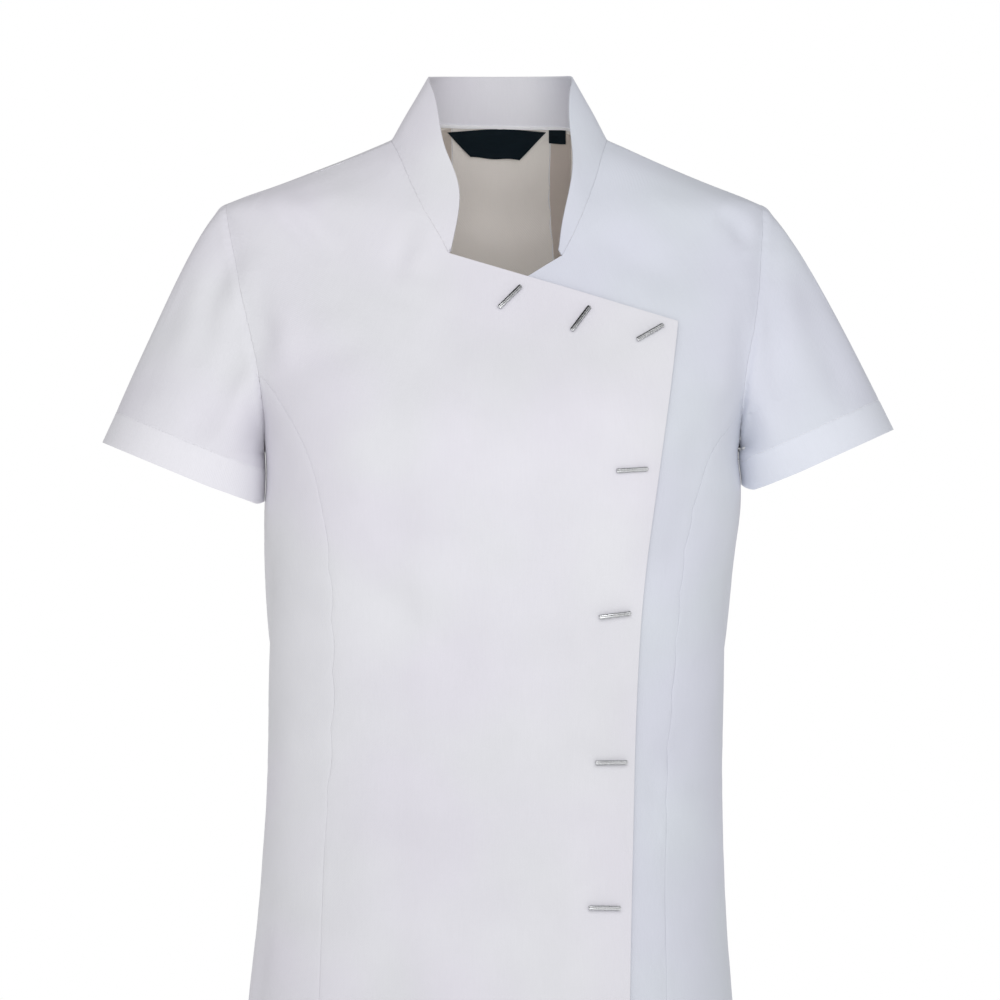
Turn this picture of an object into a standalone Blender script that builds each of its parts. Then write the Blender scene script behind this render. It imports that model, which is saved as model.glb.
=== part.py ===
# Work tunic: wrap front with seven bar fasteners, stand collar, short set-in sleeves.
# Sizes are in millimetres and are turned into metres where the meshes are made.
# +X is the wearer's left, the front faces -Y, +Z is up.
# The origin is the middle of the neck, level with the sides of the neck.

import math
from collections import namedtuple
from functools import lru_cache

import bpy
from mathutils import Vector
from mathutils.bvhtree import BVHTree

MM = 0.001

# Cloth
CLOTH = 1.2              # wall of a single layer
COLLAR_CLOTH = 1.8       # two layers of cloth
HEM_EXTRA = 0.8          # the turned-up layer, on the inside
SEAM_GAP = 0.3           # between the edges of two pieces
LAP_CLEAR = 1.4          # air between the overlap and the front underneath
LAP_RISE_FROM = -78.0    # x where the overlap starts to lift off
LAP_RISE_TO = -50.0      # x where it is fully lifted

# Heights
HEM_Z = -715.0
BODY_HEM_DEPTH = 30.0
SLEEVE_HEM_DEPTH = 25.0
SHOULDER_SEAM_Y = -8.0   # the seam lies just in front of the ridge

# Mesh divisions
BODY_ROWS = 14           # hem to armhole
ARMHOLE_UPPER = 12       # princess seam to shoulder, front
ARMHOLE_LOWER = 5        # princess seam to side seam
ARMHOLE_BACK = 16        # side seam to shoulder, back
FRONT_COLUMNS = 14
SIDE_BACK_COLUMNS = 8
BACK_COLUMNS = 8
NECKLINE_ROWS = 5        # overlap corner to collar point
COLLAR_FRONT = 8         # collar point to shoulder seam
COLLAR_SIDE = 5          # shoulder seam to back seam
COLLAR_RISE = 3          # divisions up the collar
LAP_EDGE_ROWS = BODY_ROWS + ARMHOLE_UPPER - NECKLINE_ROWS - COLLAR_FRONT
BACK_SEAM_ROWS = BODY_ROWS + ARMHOLE_BACK - COLLAR_SIDE
ROW_EASE = 0.45          # how far rows crowd towards the top of a panel
BACK_ROW_EASE = 0.55     # the same towards the neck, in the back
NECK_ROW_EASE = 0.35     # the same towards the shoulder seam, along the front neck
BACK_ROWS_DROP = 5.0     # the even rows of the back end this far below the underarm
BOW_DECAY = 4            # power with which a curved hem or top fades into the panel

# Sampling and shading
TURN_STEP = 0.004        # chart steps across which a normal is taken
HEIGHT_STEP = 0.8
HALVINGS = 50            # of an interval that is searched
SHOULDER_SEARCH = (0.01, 0.8)    # armhole angles between which the shoulder seam lies
SIDE_BACK_TURN = math.radians(135.0)
SAME_DIRECTION = 0.999   # cosine of two edges that run on into each other
SAME_NORMAL = 0.9999     # cosine below which a seam is mitred
SHARP_ANGLE = math.radians(40.0)

# Level sections of the body, superellipses about centre_x.
Ring = namedtuple("Ring", "z half_width front back squareness centre_x")
RINGS = (
    Ring(-715.0, 187.0, 119.0, 111.0, 2.30, -8.5),
    Ring(-636.0, 179.2, 116.0, 106.0, 2.30, -7.1),
    Ring(-582.0, 174.0, 113.0, 102.0, 2.30, -6.2),
    Ring(-528.0, 170.6, 109.5, 96.0, 2.32, -5.2),
    Ring(-466.0, 168.4, 105.5, 89.0, 2.35, -4.3),
    Ring(-412.0, 168.7, 105.0, 87.0, 2.38, -3.4),
    Ring(-340.0, 171.4, 113.0, 91.0, 2.45, -1.5),
    Ring(-278.0, 175.4, 122.5, 95.0, 2.55, 0.0),
    Ring(-250.0, 174.4, 125.5, 97.5, 2.60, 0.5),
    Ring(-226.0, 176.5, 125.0, 99.5, 2.60, 1.0),
    Ring(-200.0, 181.5, 120.0, 101.0, 2.60, 1.5),
    Ring(-171.0, 193.5, 108.0, 102.0, 2.60, 1.5),
    Ring(-138.0, 206.5, 92.0, 100.5, 2.40, 0.8),
    Ring(-112.0, 212.0, 79.0, 98.0, 2.35, 0.0),
    Ring(-86.0, 211.0, 66.5, 95.0, 2.30, -2.0),
    Ring(-60.0, 206.5, 56.0, 90.0, 2.25, -4.0),
    Ring(-45.0, 199.5, 49.5, 86.5, 2.20, -5.0),
    Ring(-36.5, 178.0, 45.0, 83.0, 2.15, -4.6),
    Ring(-27.6, 154.5, 40.5, 79.5, 2.10, -4.0),
    Ring(-18.6, 132.0, 35.5, 75.5, 2.10, -3.4),
    Ring(-9.7, 110.5, 29.5, 71.0, 2.10, -3.0),
    Ring(0.0, 88.0, 21.5, 66.0, 2.10, -2.6),
    Ring(8.0, 69.5, 15.0, 61.0, 2.10, -2.6),
    Ring(18.0, 46.0, 8.0, 54.0, 2.10, -2.6),
)

# The armhole seen from the front: how far out it lies from the ring's centre.
Reach = namedtuple("Reach", "z reach")
ARMHOLE_TOP = -45.0
ARMHOLE_BOTTOM = -226.0
ARMHOLE = (
    Reach(-226.0, 176.5),
    Reach(-200.0, 178.0),
    Reach(-171.0, 181.0),
    Reach(-138.0, 188.0),
    Reach(-112.0, 192.5),
    Reach(-86.0, 196.0),
    Reach(-60.0, 198.5),
    Reach(-45.0, 199.5),
)

# Seams seen from the front or from behind.
Mark = namedtuple("Mark", "z x")
PRINCESS_RIGHT = (
    Mark(-715.0, -138.0), Mark(-637.0, -135.0), Mark(-525.0, -131.0), Mark(-443.0, -126.6),
    Mark(-394.0, -125.0), Mark(-337.5, -126.6), Mark(-291.0, -129.5), Mark(-261.0, -134.5),
    Mark(-232.0, -143.0), Mark(-203.0, -157.0), Mark(-171.0, -179.5),
)
PRINCESS_LEFT = (
    Mark(-715.0, 124.5), Mark(-637.0, 123.0), Mark(-583.0, 122.0), Mark(-512.0, 121.6),
    Mark(-459.0, 123.0), Mark(-416.0, 126.0), Mark(-348.0, 131.0), Mark(-309.0, 135.0),
    Mark(-280.0, 139.0), Mark(-248.0, 147.5), Mark(-223.5, 159.4), Mark(-197.0, 179.5),
)
BACK_SEAM = (
    Mark(-715.0, 86.0), Mark(-560.0, 80.0), Mark(-430.0, 75.0), Mark(-300.0, 70.0),
    Mark(-190.0, 58.0), Mark(-90.0, 41.0), Mark(-40.0, 37.0), Mark(12.0, 36.5),
)
LAP_EDGE = (
    Mark(-715.0, 94.0), Mark(-637.0, 94.6), Mark(-523.0, 96.8), Mark(-433.0, 99.0),
    Mark(-338.0, 104.3), Mark(-248.0, 115.5), Mark(-171.0, 126.5), Mark(-132.6, 131.0),
)
UNDER_EDGE = (Mark(-715.0, -24.0), Mark(-430.0, -24.0), Mark(-124.0, -22.0))
COLLAR_SEAM_RIGHT = (
    Mark(-82.0, -38.7), Mark(-70.0, -44.7), Mark(-47.0, -58.0), Mark(-21.6, -70.0),
    Mark(-6.0, -76.6), Mark(2.0, -81.0),
)
COLLAR_SEAM_LEFT = (
    Mark(-83.0, 45.0), Mark(-70.0, 52.0), Mark(-47.0, 62.0), Mark(-21.6, 71.0),
    Mark(-6.0, 75.4), Mark(2.0, 78.0),
)
NECK_BACK_DEPTH = 55.0   # from the ridge to the middle of the back neck

# The collar's free edge, by its share of the way from the middle back to the point.
Rim = namedtuple("Rim", "share x y z")
COLLAR_RIM_RIGHT = (
    Rim(0.00, -2.6, 50.0, 54.5), Rim(0.12, -25.0, 46.5, 54.2), Rim(0.25, -43.0, 34.0, 53.2),
    Rim(0.37, -52.0, 16.0, 51.4), Rim(0.48, -54.5, -2.0, 49.0), Rim(0.56, -51.5, -14.0, 42.0),
    Rim(0.62, -48.5, -23.0, 31.0), Rim(0.68, -46.0, -31.0, 16.0), Rim(0.75, -41.5, -40.0, -3.0),
    Rim(0.82, -34.5, -48.0, -20.0), Rim(0.88, -31.0, -54.5, -35.0), Rim(0.94, -32.0, -60.0, -53.0),
    Rim(1.00, -37.0, -66.0, -77.5),
)
COLLAR_RIM_LEFT = (
    Rim(0.00, -2.6, 50.0, 54.5), Rim(0.12, 20.0, 46.5, 54.2), Rim(0.25, 38.0, 34.0, 53.2),
    Rim(0.37, 48.0, 16.0, 51.4), Rim(0.48, 52.5, -2.0, 49.0), Rim(0.56, 51.5, -14.0, 42.0),
    Rim(0.62, 50.5, -23.0, 30.0), Rim(0.68, 51.0, -31.0, 14.0), Rim(0.75, 53.0, -39.0, -5.0),
    Rim(0.82, 52.5, -46.5, -23.0), Rim(0.88, 49.0, -53.0, -41.0), Rim(0.94, 45.0, -59.0, -60.0),
    Rim(1.00, 42.5, -65.5, -78.5),
)

# Sleeve mouths, seen from the front.
Mouth = namedtuple("Mouth", "outer_x outer_z inner_x inner_z centre_y half_depth")
MOUTH_RIGHT = Mouth(-296.0, -222.0, -180.2, -270.0, -4.0, 50.0)
MOUTH_LEFT = Mouth(291.5, -212.5, 182.0, -262.0, -4.0, 50.0)
SLEEVE_DIP_TOP = math.radians(33.0)      # how steeply the cloth leaves the shoulder
SLEEVE_DIP_BOTTOM = math.radians(48.0)   # and the underarm
SLEEVE_FLARE_TOP = math.radians(25.5)    # lean of the cloth at the mouth, on top
SLEEVE_FLARE_BOTTOM = math.radians(-3.0)     # and along the body
SLEEVE_SPREAD = 0.15                     # lean towards front and back on leaving
SLEEVE_LEAVE = 0.42                      # strength of the leaving direction
SLEEVE_ARRIVE = 0.95                     # strength of the arriving direction
SLEEVE_ROWS_LONG = (0.0, 0.05, 0.14, 0.28, 0.46, 0.64, 0.82, 1.0)    # over the shoulder
SLEEVE_ROWS_SHORT = (0.0, 0.25, 0.38, 0.50, 0.62, 0.75, 0.88, 1.0)   # under the arm
SLEEVE_HEM_ROWS = (0.5, 1.0)

# Fasteners: bars that lie on the overlap near its edge.
Bar = namedtuple("Bar", "x z slant")
BARS = (
    Bar(6.7, -115.8, 48.0),
    Bar(58.9, -131.9, 56.5),
    Bar(109.9, -141.9, 35.5),
    Bar(96.1, -242.1, 3.0),
    Bar(83.4, -349.4, 5.0),
    Bar(80.5, -459.7, 1.0),
    Bar(75.6, -567.7, 0.0),
)
BAR_LENGTH = 25.0
BAR_RADIUS = 1.6
BAR_SIDES = 12
BarEnd = namedtuple("BarEnd", "inset drop")     # the domed end, from its face inwards
BAR_END = (BarEnd(0.0, 0.9), BarEnd(0.25, 0.3), BarEnd(0.75, 0.0))
BAR_SEAT = 0.35          # clearance between a bar and the cloth
BAR_PROBES = 9           # points along a bar where that clearance is kept
BAR_PROBE_FROM = 12.0    # height above the cloth from which it is probed

# Labels inside the back of the neck.
Tab = namedtuple("Tab", "name top_left top_right bottom_left bottom_right top_drop bottom_z")
LABEL_WALL = 1.0
LABEL_CLEAR = 1.1
LABEL_NECK = Tab("label_neck", -44.0, 35.0, -24.0, 13.5, 2.4, -11.5)
LABEL_SIZE = Tab("label_size", 36.5, 51.0, 36.5, 51.0, 2.4, -1.5)
LABEL_COLUMNS = 8
LABEL_ROWS = 3

# Finishes: linear colour, roughness, metallic
Finish = namedtuple("Finish", "colour roughness metallic")
WHITE_CLOTH = Finish((0.76, 0.77, 0.81), 0.85, 0.0)
NAVY_CLOTH = Finish((0.012, 0.014, 0.028), 0.8, 0.0)
CHROME = Finish((0.62, 0.63, 0.65), 0.12, 1.0)

BACK_TURN = math.pi
FRONT = -1
BACK = 1


def hermite(start, end, leave, arrive, s):
    """Point of the cubic that leaves start along leave and reaches end along arrive."""
    return (
        start * (2 * s**3 - 3 * s**2 + 1)
        + leave * (s**3 - 2 * s**2 + s)
        + end * (3 * s**2 - 2 * s**3)
        + arrive * (s**3 - s**2)
    )


def ease(share, strength):
    """A share of the way, moved on so that even steps shrink towards the end."""
    return (1 - strength) * share + strength * math.sin(share * math.pi / 2)


def interpolate(table, key, column, value):
    """Value of a column along a smooth curve through a table's rows."""
    keys = [getattr(row, key) for row in table]
    values = [getattr(row, column) for row in table]
    last = len(keys) - 1
    value = min(max(value, keys[0]), keys[-1])
    i = 0
    while i < last - 1 and value > keys[i + 1]:
        i += 1

    def slope(k):
        low = max(k - 1, 0)
        high = min(k + 1, last)
        return (values[high] - values[low]) / (keys[high] - keys[low])

    span = keys[i + 1] - keys[i]
    s = (value - keys[i]) / span
    return hermite(values[i], values[i + 1], slope(i) * span, slope(i + 1) * span, s)


@lru_cache(maxsize=None)
def ring_at(z):
    """The body's level section at any height."""
    return Ring(z, *(interpolate(RINGS, "z", name, z) for name in Ring._fields[1:]))


def body_point(turn, z):
    """Point of the body; turn is the angle from the front centre towards +X."""
    ring = ring_at(z)
    across = math.sin(turn)
    forward = math.cos(turn)
    depth = ring.front if forward > 0 else ring.back
    n = ring.squareness
    radius = (abs(across / ring.half_width) ** n + abs(forward / depth) ** n) ** (-1 / n)
    return Vector((ring.centre_x + radius * across, -radius * forward, z))


def body_normal(turn, z):
    along = body_point(turn + TURN_STEP, z) - body_point(turn - TURN_STEP, z)
    up = body_point(turn, z + HEIGHT_STEP) - body_point(turn, z - HEIGHT_STEP)
    return along.cross(up).normalized()


def turn_at(x, z, face):
    """Angle of the body's point that shows at x, from the front or from behind."""
    ring = ring_at(z)
    depth = ring.front if face == FRONT else ring.back
    share = min(abs(x - ring.centre_x) / ring.half_width, 1.0)
    y = face * depth * (1 - share**ring.squareness) ** (1 / ring.squareness)
    return math.atan2(x - ring.centre_x, -y)


def smooth_step(value, start, end):
    s = min(max((value - start) / (end - start), 0.0), 1.0)
    return s * s * (3 - 2 * s)


def lap_lift(x):
    """How far the overlap stands off the front underneath."""
    return (CLOTH + LAP_CLEAR) * smooth_step(x, LAP_RISE_FROM, LAP_RISE_TO)


def lifted_point(turn, z):
    point = body_point(turn, z)
    return point + body_normal(turn, z) * lap_lift(point.x)


def share_range(count):
    return [i / count for i in range(count + 1)]


def blend(a, b, share):
    return a + (b - a) * share


def chart_chord(start, end, count):
    """Evenly spaced chart points (turn, z) between two of them."""
    return [(blend(start[0], end[0], s), blend(start[1], end[1], s)) for s in share_range(count)]


def chart_seam(marks, heights, side, face):
    """Chart points of a seam given by its x at each height."""
    points = []
    for z in heights:
        x = interpolate(marks, "z", "x", z) * side
        points.append((turn_at(x, z, face), z))
    return points


# Armhole -------------------------------------------------------------------------------

def armhole_height(angle):
    middle = (ARMHOLE_TOP + ARMHOLE_BOTTOM) / 2
    return middle + (ARMHOLE_TOP - ARMHOLE_BOTTOM) / 2 * math.cos(angle)


def armhole_chart(angle, side):
    """Chart point of the armhole; the angle runs top, front, underarm, back."""
    z = armhole_height(angle)
    face = FRONT if math.sin(angle) > 0 else BACK
    ring = ring_at(z)
    reach = min(interpolate(ARMHOLE, "z", "reach", z), ring.half_width)
    return (turn_at(ring.centre_x + side * reach, z, face), z)


def armhole_angle_at(z):
    middle = (ARMHOLE_TOP + ARMHOLE_BOTTOM) / 2
    return math.acos((z - middle) / ((ARMHOLE_TOP - ARMHOLE_BOTTOM) / 2))


def shoulder_angle(side):
    """Armhole angle where the shoulder seam meets it."""
    low, high = SHOULDER_SEARCH
    for _ in range(HALVINGS):
        middle = (low + high) / 2
        if body_point(*armhole_chart(middle, side)).y > SHOULDER_SEAM_Y:
            low = middle
        else:
            high = middle
    return low


# Edges: chart points with their places, and the frame of each seam point ---------------

EdgePoint = namedtuple("EdgePoint", "chart place normal inward")


def tangent_at(places, i, closed=False):
    if closed:
        return (places[(i + 1) % len(places)] - places[i - 1]).normalized()
    low = max(i - 1, 0)
    high = min(i + 1, len(places) - 1)
    return (places[high] - places[low]).normalized()


def flat_edge(charts, surface, inward_sign):
    """A seam that lies in the body's surface.

    inward_sign is +1 where the piece lies to the right of the seam, seen from outside
    and walking along it, and -1 where it lies to the left.
    """
    places = [surface(*chart) for chart in charts]
    edge = []
    for i, chart in enumerate(charts):
        normal = body_normal(*chart)
        inward = tangent_at(places, i).cross(normal).normalized() * inward_sign
        edge.append(EdgePoint(chart, places[i], normal, inward))
    return edge


def free_edge(charts, surface):
    return [EdgePoint(chart, surface(*chart), body_normal(*chart), None) for chart in charts]


Mitre = namedtuple("Mitre", "chart place normal across leaving")


def mitre_frames(charts, places, closed, body_side, leaving_directions):
    """Frames of a seam where another piece leaves the body at an angle.

    across points from the body to the other piece, and normal to the cloth's outside.
    body_side is +1 where the body lies to the right of the seam and -1 to the left.
    """
    frames = []
    for i, chart in enumerate(charts):
        along = tangent_at(places, i, closed)
        outside = body_normal(*chart)
        into_body = along.cross(outside).normalized() * body_side
        leaving = leaving_directions[i]
        leaving = (leaving - along * leaving.dot(along)).normalized()
        other_outside = along.cross(leaving) * body_side
        normal = (outside + other_outside).normalized()
        normal = (normal - along * normal.dot(along)).normalized()
        across = leaving - into_body
        across = across - along * across.dot(along)
        across = (across - normal * across.dot(normal)).normalized()
        frames.append(Mitre(chart, places[i], normal, across, leaving))
    return frames


def mitred_edge(frames):
    """The body's side of a mitred seam."""
    return [EdgePoint(f.chart, f.place, f.normal, -f.across) for f in frames]


# Panels --------------------------------------------------------------------------------

def panel_charts(left, right, bottom, top):
    """Chart points of a panel from those of its four edges."""
    rows = len(left) - 1
    columns = len(bottom) - 1
    grid = []
    for i in range(rows + 1):
        v = i / rows
        line = []
        for j in range(columns + 1):
            u = j / columns
            point = []
            for axis in (0, 1):
                value = blend(left[i][axis], right[i][axis], u)
                top_bow = top[j][axis] - blend(left[-1][axis], right[-1][axis], u)
                bottom_bow = bottom[j][axis] - blend(left[0][axis], right[0][axis], u)
                value += top_bow * v**BOW_DECAY + bottom_bow * (1 - v) ** BOW_DECAY
                point.append(value)
            line.append(tuple(point))
        grid.append(line)
    return grid


def offset_place(place, inwards):
    """Corner or edge point moved in from the one or two seams it lies on."""
    if not inwards:
        return place
    total = sum(inwards, Vector((0.0, 0.0, 0.0)))
    scale = 1.0 if len(inwards) == 1 else 1 / (1 + inwards[0].dot(inwards[1]))
    return place + total * (scale * SEAM_GAP / 2)


def body_hem_extra(z):
    return HEM_EXTRA if z < HEM_Z + BODY_HEM_DEPTH else 0.0


def build_panel(name, left, right, bottom, top, surface, material):
    """A cloth wall between four edges, each a chain of edge points.

    left and right run upwards, bottom and top run in the direction of growing turn.
    A chain is a list of edges whose ends meet.
    """
    def chain_charts(chain):
        charts = [point.chart for point in chain[0]]
        for edge in chain[1:]:
            charts += [point.chart for point in edge[1:]]
        return charts

    charts = panel_charts(*(chain_charts(chain) for chain in (left, right, bottom, top)))
    rows = len(charts) - 1
    columns = len(charts[0]) - 1
    marks = {}

    def mark(chain, cell_of):
        k = 0
        for number, edge in enumerate(chain):
            if number:
                k -= 1
            for point in edge:
                marks.setdefault(cell_of(k), []).append(point)
                k += 1

    mark(left, lambda k: (k, 0))
    mark(right, lambda k: (k, columns))
    mark(bottom, lambda k: (0, k))
    mark(top, lambda k: (rows, k))

    outer = []
    inner = []
    for i in range(rows + 1):
        outer.append([])
        inner.append([])
        for j in range(columns + 1):
            turn, z = charts[i][j]
            found = marks.get((i, j), [])
            seams = [point for point in found if point.inward is not None]
            inwards = []
            for point in seams:
                if all(point.inward.dot(other) < SAME_DIRECTION for other in inwards):
                    inwards.append(point.inward)
            if seams:
                flat = body_normal(turn, z)
                mitred = [point for point in seams if point.normal.dot(flat) < SAME_NORMAL]
                chosen = (mitred or seams)[0]
                place = chosen.place
                normal = chosen.normal
            else:
                place = surface(turn, z)
                normal = body_normal(turn, z)
            place = offset_place(place, inwards[:2])
            outer[-1].append(place + normal * (CLOTH / 2))
            inner[-1].append(place - normal * (CLOTH / 2 + body_hem_extra(z)))
    return build_wall(name, outer, inner, material)


def shorter_split(verts, corners):
    """A cell as two triangles. Both sides of a wall are cut alike, so that they never cross."""
    a, b, c, d = corners
    if (verts[a] - verts[c]).length < (verts[b] - verts[d]).length:
        return (a, b, c), (a, c, d)
    return (a, b, d), (b, c, d)


def build_wall(name, outer, inner, material, closed=False):
    """A closed solid between two grids of points, with rims along their edges."""
    rows = len(outer)
    columns = len(outer[0])
    verts = [point * MM for line in outer for point in line]
    verts += [point * MM for line in inner for point in line]
    shift = rows * columns

    def number(i, j, layer):
        return layer * shift + i * columns + j % columns

    faces = []
    spans = columns if closed else columns - 1
    for i in range(rows - 1):
        for j in range(spans):
            a, b = number(i, j, 0), number(i, j + 1, 0)
            c, d = number(i + 1, j + 1, 0), number(i + 1, j, 0)
            for half in shorter_split(verts, (a, b, c, d)):
                faces.append(half)
                faces.append(tuple(corner + shift for corner in reversed(half)))
    for j in range(spans):
        a, b = number(0, j, 0), number(0, j + 1, 0)
        faces.append((b, a, a + shift, b + shift))
        a, b = number(rows - 1, j, 0), number(rows - 1, j + 1, 0)
        faces.append((a, b, b + shift, a + shift))
    if not closed:
        for i in range(rows - 1):
            a, b = number(i, 0, 0), number(i + 1, 0, 0)
            faces.append((a, b, b + shift, a + shift))
            a, b = number(i, columns - 1, 0), number(i + 1, columns - 1, 0)
            faces.append((b, a, a + shift, b + shift))
    return add_object(name, verts, faces, material)


def add_object(name, verts, faces, material):
    mesh = bpy.data.meshes.new(name)
    mesh.from_pydata([tuple(v) for v in verts], [], faces)
    mesh.validate()
    mesh.update()
    mesh.shade_smooth()
    mesh.set_sharp_from_angle(angle=SHARP_ANGLE)
    mesh.materials.append(material)
    thing = bpy.data.objects.new(name, mesh)
    bpy.context.scene.collection.objects.link(thing)
    return thing


def add_material(name, finish):
    material = bpy.data.materials.new(name)
    material.use_nodes = True
    shader = material.node_tree.nodes["Principled BSDF"]
    shader.inputs["Base Color"].default_value = (*finish.colour, 1.0)
    shader.inputs["Roughness"].default_value = finish.roughness
    shader.inputs["Metallic"].default_value = finish.metallic
    return material


def cloth_material(name):
    return add_material(name + "_cloth", WHITE_CLOTH)


# One side of the tunic -----------------------------------------------------------------

Side = namedtuple("Side", "name sign front princess collar_seam rim mouth free_edge surface")
RIGHT = Side("right", -1, "front_overlap", PRINCESS_RIGHT, COLLAR_SEAM_RIGHT, COLLAR_RIM_RIGHT,
             MOUTH_RIGHT, LAP_EDGE, lifted_point)
LEFT = Side("left", 1, "front_under", PRINCESS_LEFT, COLLAR_SEAM_LEFT, COLLAR_RIM_LEFT,
            MOUTH_LEFT, UNDER_EDGE, body_point)


def neck_front_charts(side):
    """Collar seam in front, from the collar's point up to the shoulder seam."""
    low = side.collar_seam[0].z
    high = side.collar_seam[-1].z
    charts = []
    for share in share_range(COLLAR_FRONT):
        z = blend(low, high, ease(share, NECK_ROW_EASE))
        charts.append((turn_at(interpolate(side.collar_seam, "z", "x", z), z, FRONT), z))
    return charts


def neck_back_point(plan_turn, half_width):
    """Where an upright line through the neck's plan ellipse meets the body."""
    centre = ring_at(0.0).centre_x
    radius = ((math.sin(plan_turn) / half_width) ** 2
              + (math.cos(plan_turn) / NECK_BACK_DEPTH) ** 2) ** -0.5
    x = centre + radius * math.sin(plan_turn)
    y = -radius * math.cos(plan_turn)
    low = ARMHOLE_TOP
    high = RINGS[-1].z
    for _ in range(HALVINGS):
        z = (low + high) / 2
        ring = ring_at(z)
        depth = ring.front if y < 0 else ring.back
        n = ring.squareness
        filled = abs((x - ring.centre_x) / ring.half_width) ** n + abs(y / depth) ** n
        if filled > 1:
            high = z
        else:
            low = z
    ring = ring_at(z)
    return (math.atan2(x - ring.centre_x, -y), z)


def neck_ellipse(side):
    """Half width and starting turn of the neck's plan ellipse, through the shoulder seam."""
    start = body_point(*neck_front_charts(side)[-1])
    centre = ring_at(0.0).centre_x
    across = abs(start.x - centre)
    half_width = across / math.sqrt(1 - (start.y / NECK_BACK_DEPTH) ** 2)
    return half_width, abs(math.atan2(across, -start.y))


def neck_plan_turn(x, half_width):
    """Plan turn of the back half of the neck's ellipse at x."""
    across = x - ring_at(0.0).centre_x
    share = min(abs(across) / half_width, 1.0)
    y = NECK_BACK_DEPTH * math.sqrt(1 - share**2)
    return math.atan2(across, -y)


def back_seam_turn(side, half_width):
    """Plan turn, to either side, where the long back seam starts."""
    return abs(neck_plan_turn(side.sign * BACK_SEAM[-1].x, half_width))


def neck_side_charts(side):
    """Collar seam from the shoulder seam back to the long back seam."""
    half_width, start = neck_ellipse(side)
    end = back_seam_turn(side, half_width)
    charts = []
    for share in share_range(COLLAR_SIDE):
        turn, z = neck_back_point(side.sign * blend(start, end, share), half_width)
        charts.append((turn, z))
    charts[0] = neck_front_charts(side)[-1]
    return charts


def unwrap(charts, around):
    """Turns moved by whole circles to lie near a given turn."""
    circle = 2 * math.pi
    return [(turn + circle * round((around - turn) / circle), z) for turn, z in charts]


def lap_neckline(start, end, count):
    """Straight free neckline, seen from the front, between two points (x, z)."""
    charts = []
    for share in share_range(count):
        x = blend(start[0], end[0], share)
        z = blend(start[1], end[1], share)
        charts.append((turn_at(x, z, FRONT), z))
    return charts


def body_heights(top, count):
    """Heights from the hem to a seam's top, a little closer together near the top."""
    return [blend(HEM_Z, top, ease(s, ROW_EASE)) for s in share_range(count)]


def sleeve_leaving(angle, sign):
    dip = blend(SLEEVE_DIP_TOP, SLEEVE_DIP_BOTTOM, (1 - math.cos(angle)) / 2)
    direction = Vector((sign * math.cos(dip), -SLEEVE_SPREAD * math.sin(angle), -math.sin(dip)))
    return direction.normalized()


def armhole_frames(side):
    """Frames all round the armhole: down the front from the shoulder seam, up the back."""
    shoulder = shoulder_angle(side.sign)
    join = armhole_angle_at(side.princess[-1].z)
    angles = [blend(shoulder, join, s) for s in share_range(ARMHOLE_UPPER)]
    angles += [blend(join, math.pi, s) for s in share_range(ARMHOLE_LOWER)][1:]
    angles += [blend(math.pi, 2 * math.pi + shoulder, s) for s in share_range(ARMHOLE_BACK)][1:-1]
    charts = [armhole_chart(angle, side.sign) for angle in angles]
    places = [body_point(*chart) for chart in charts]
    leaving = [sleeve_leaving(angle, side.sign) for angle in angles]
    frames = mitre_frames(charts, places, True, side.sign, leaving)
    return angles, frames


def collar_frames():
    """Frames of the whole collar seam, from the right point round the back to the left."""
    charts_right = neck_front_charts(RIGHT) + neck_side_charts(RIGHT)[1:]
    charts_left = neck_front_charts(LEFT) + neck_side_charts(LEFT)[1:]
    half_right, _ = neck_ellipse(RIGHT)
    half_left, _ = neck_ellipse(LEFT)
    turn_right = back_seam_turn(RIGHT, half_right)
    turn_left = back_seam_turn(LEFT, half_left)
    back = []
    for share in share_range(BACK_COLUMNS):
        turn = blend(turn_left, 2 * math.pi - turn_right, share)
        half = blend(half_left, half_right, share)
        back.append(neck_back_point(turn, half))
    back = unwrap(back, BACK_TURN)
    charts = charts_right + back[::-1][1:-1] + charts_left[::-1]
    middle = len(charts_right) - 1 + BACK_COLUMNS // 2
    places = []
    for k, chart in enumerate(charts):
        on_lap = k <= COLLAR_FRONT
        places.append(lifted_point(*chart) if on_lap else body_point(*chart))
    lengths = [0.0]
    for k in range(1, len(places)):
        lengths.append(lengths[-1] + (places[k] - places[k - 1]).length)
    rims = []
    for k in range(len(places)):
        if k <= middle:
            share = (lengths[middle] - lengths[k]) / lengths[middle]
            table = RIGHT.rim
        else:
            share = (lengths[k] - lengths[middle]) / (lengths[-1] - lengths[middle])
            table = LEFT.rim
        rims.append(Vector([interpolate(table, "share", axis, share) for axis in "xyz"]))
    leaving = [(rim - place).normalized() for rim, place in zip(rims, places)]
    frames = mitre_frames(charts, places, False, -1, leaving)
    return frames, rims


def build_collar(frames, rims, material):
    outer = []
    inner = []
    for i in range(COLLAR_RISE + 1):
        share = i / COLLAR_RISE
        outer.append([])
        inner.append([])
        for k, frame in enumerate(frames):
            start = frame.place + frame.across * (SEAM_GAP / 2)
            place = start.lerp(rims[k], share)
            along = tangent_at([f.place for f in frames], k)
            rim_along = tangent_at(rims, k)
            up = (rims[k] - start).normalized()
            side_normal = up.cross(along.lerp(rim_along, share)).normalized()
            normal = frame.normal if i == 0 else side_normal
            outer[-1].append(place + normal * (COLLAR_CLOTH / 2))
            inner[-1].append(place - normal * (COLLAR_CLOTH / 2))
    outer = [line[::-1] for line in outer]
    inner = [line[::-1] for line in inner]
    return build_wall("collar", outer, inner, material)


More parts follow.
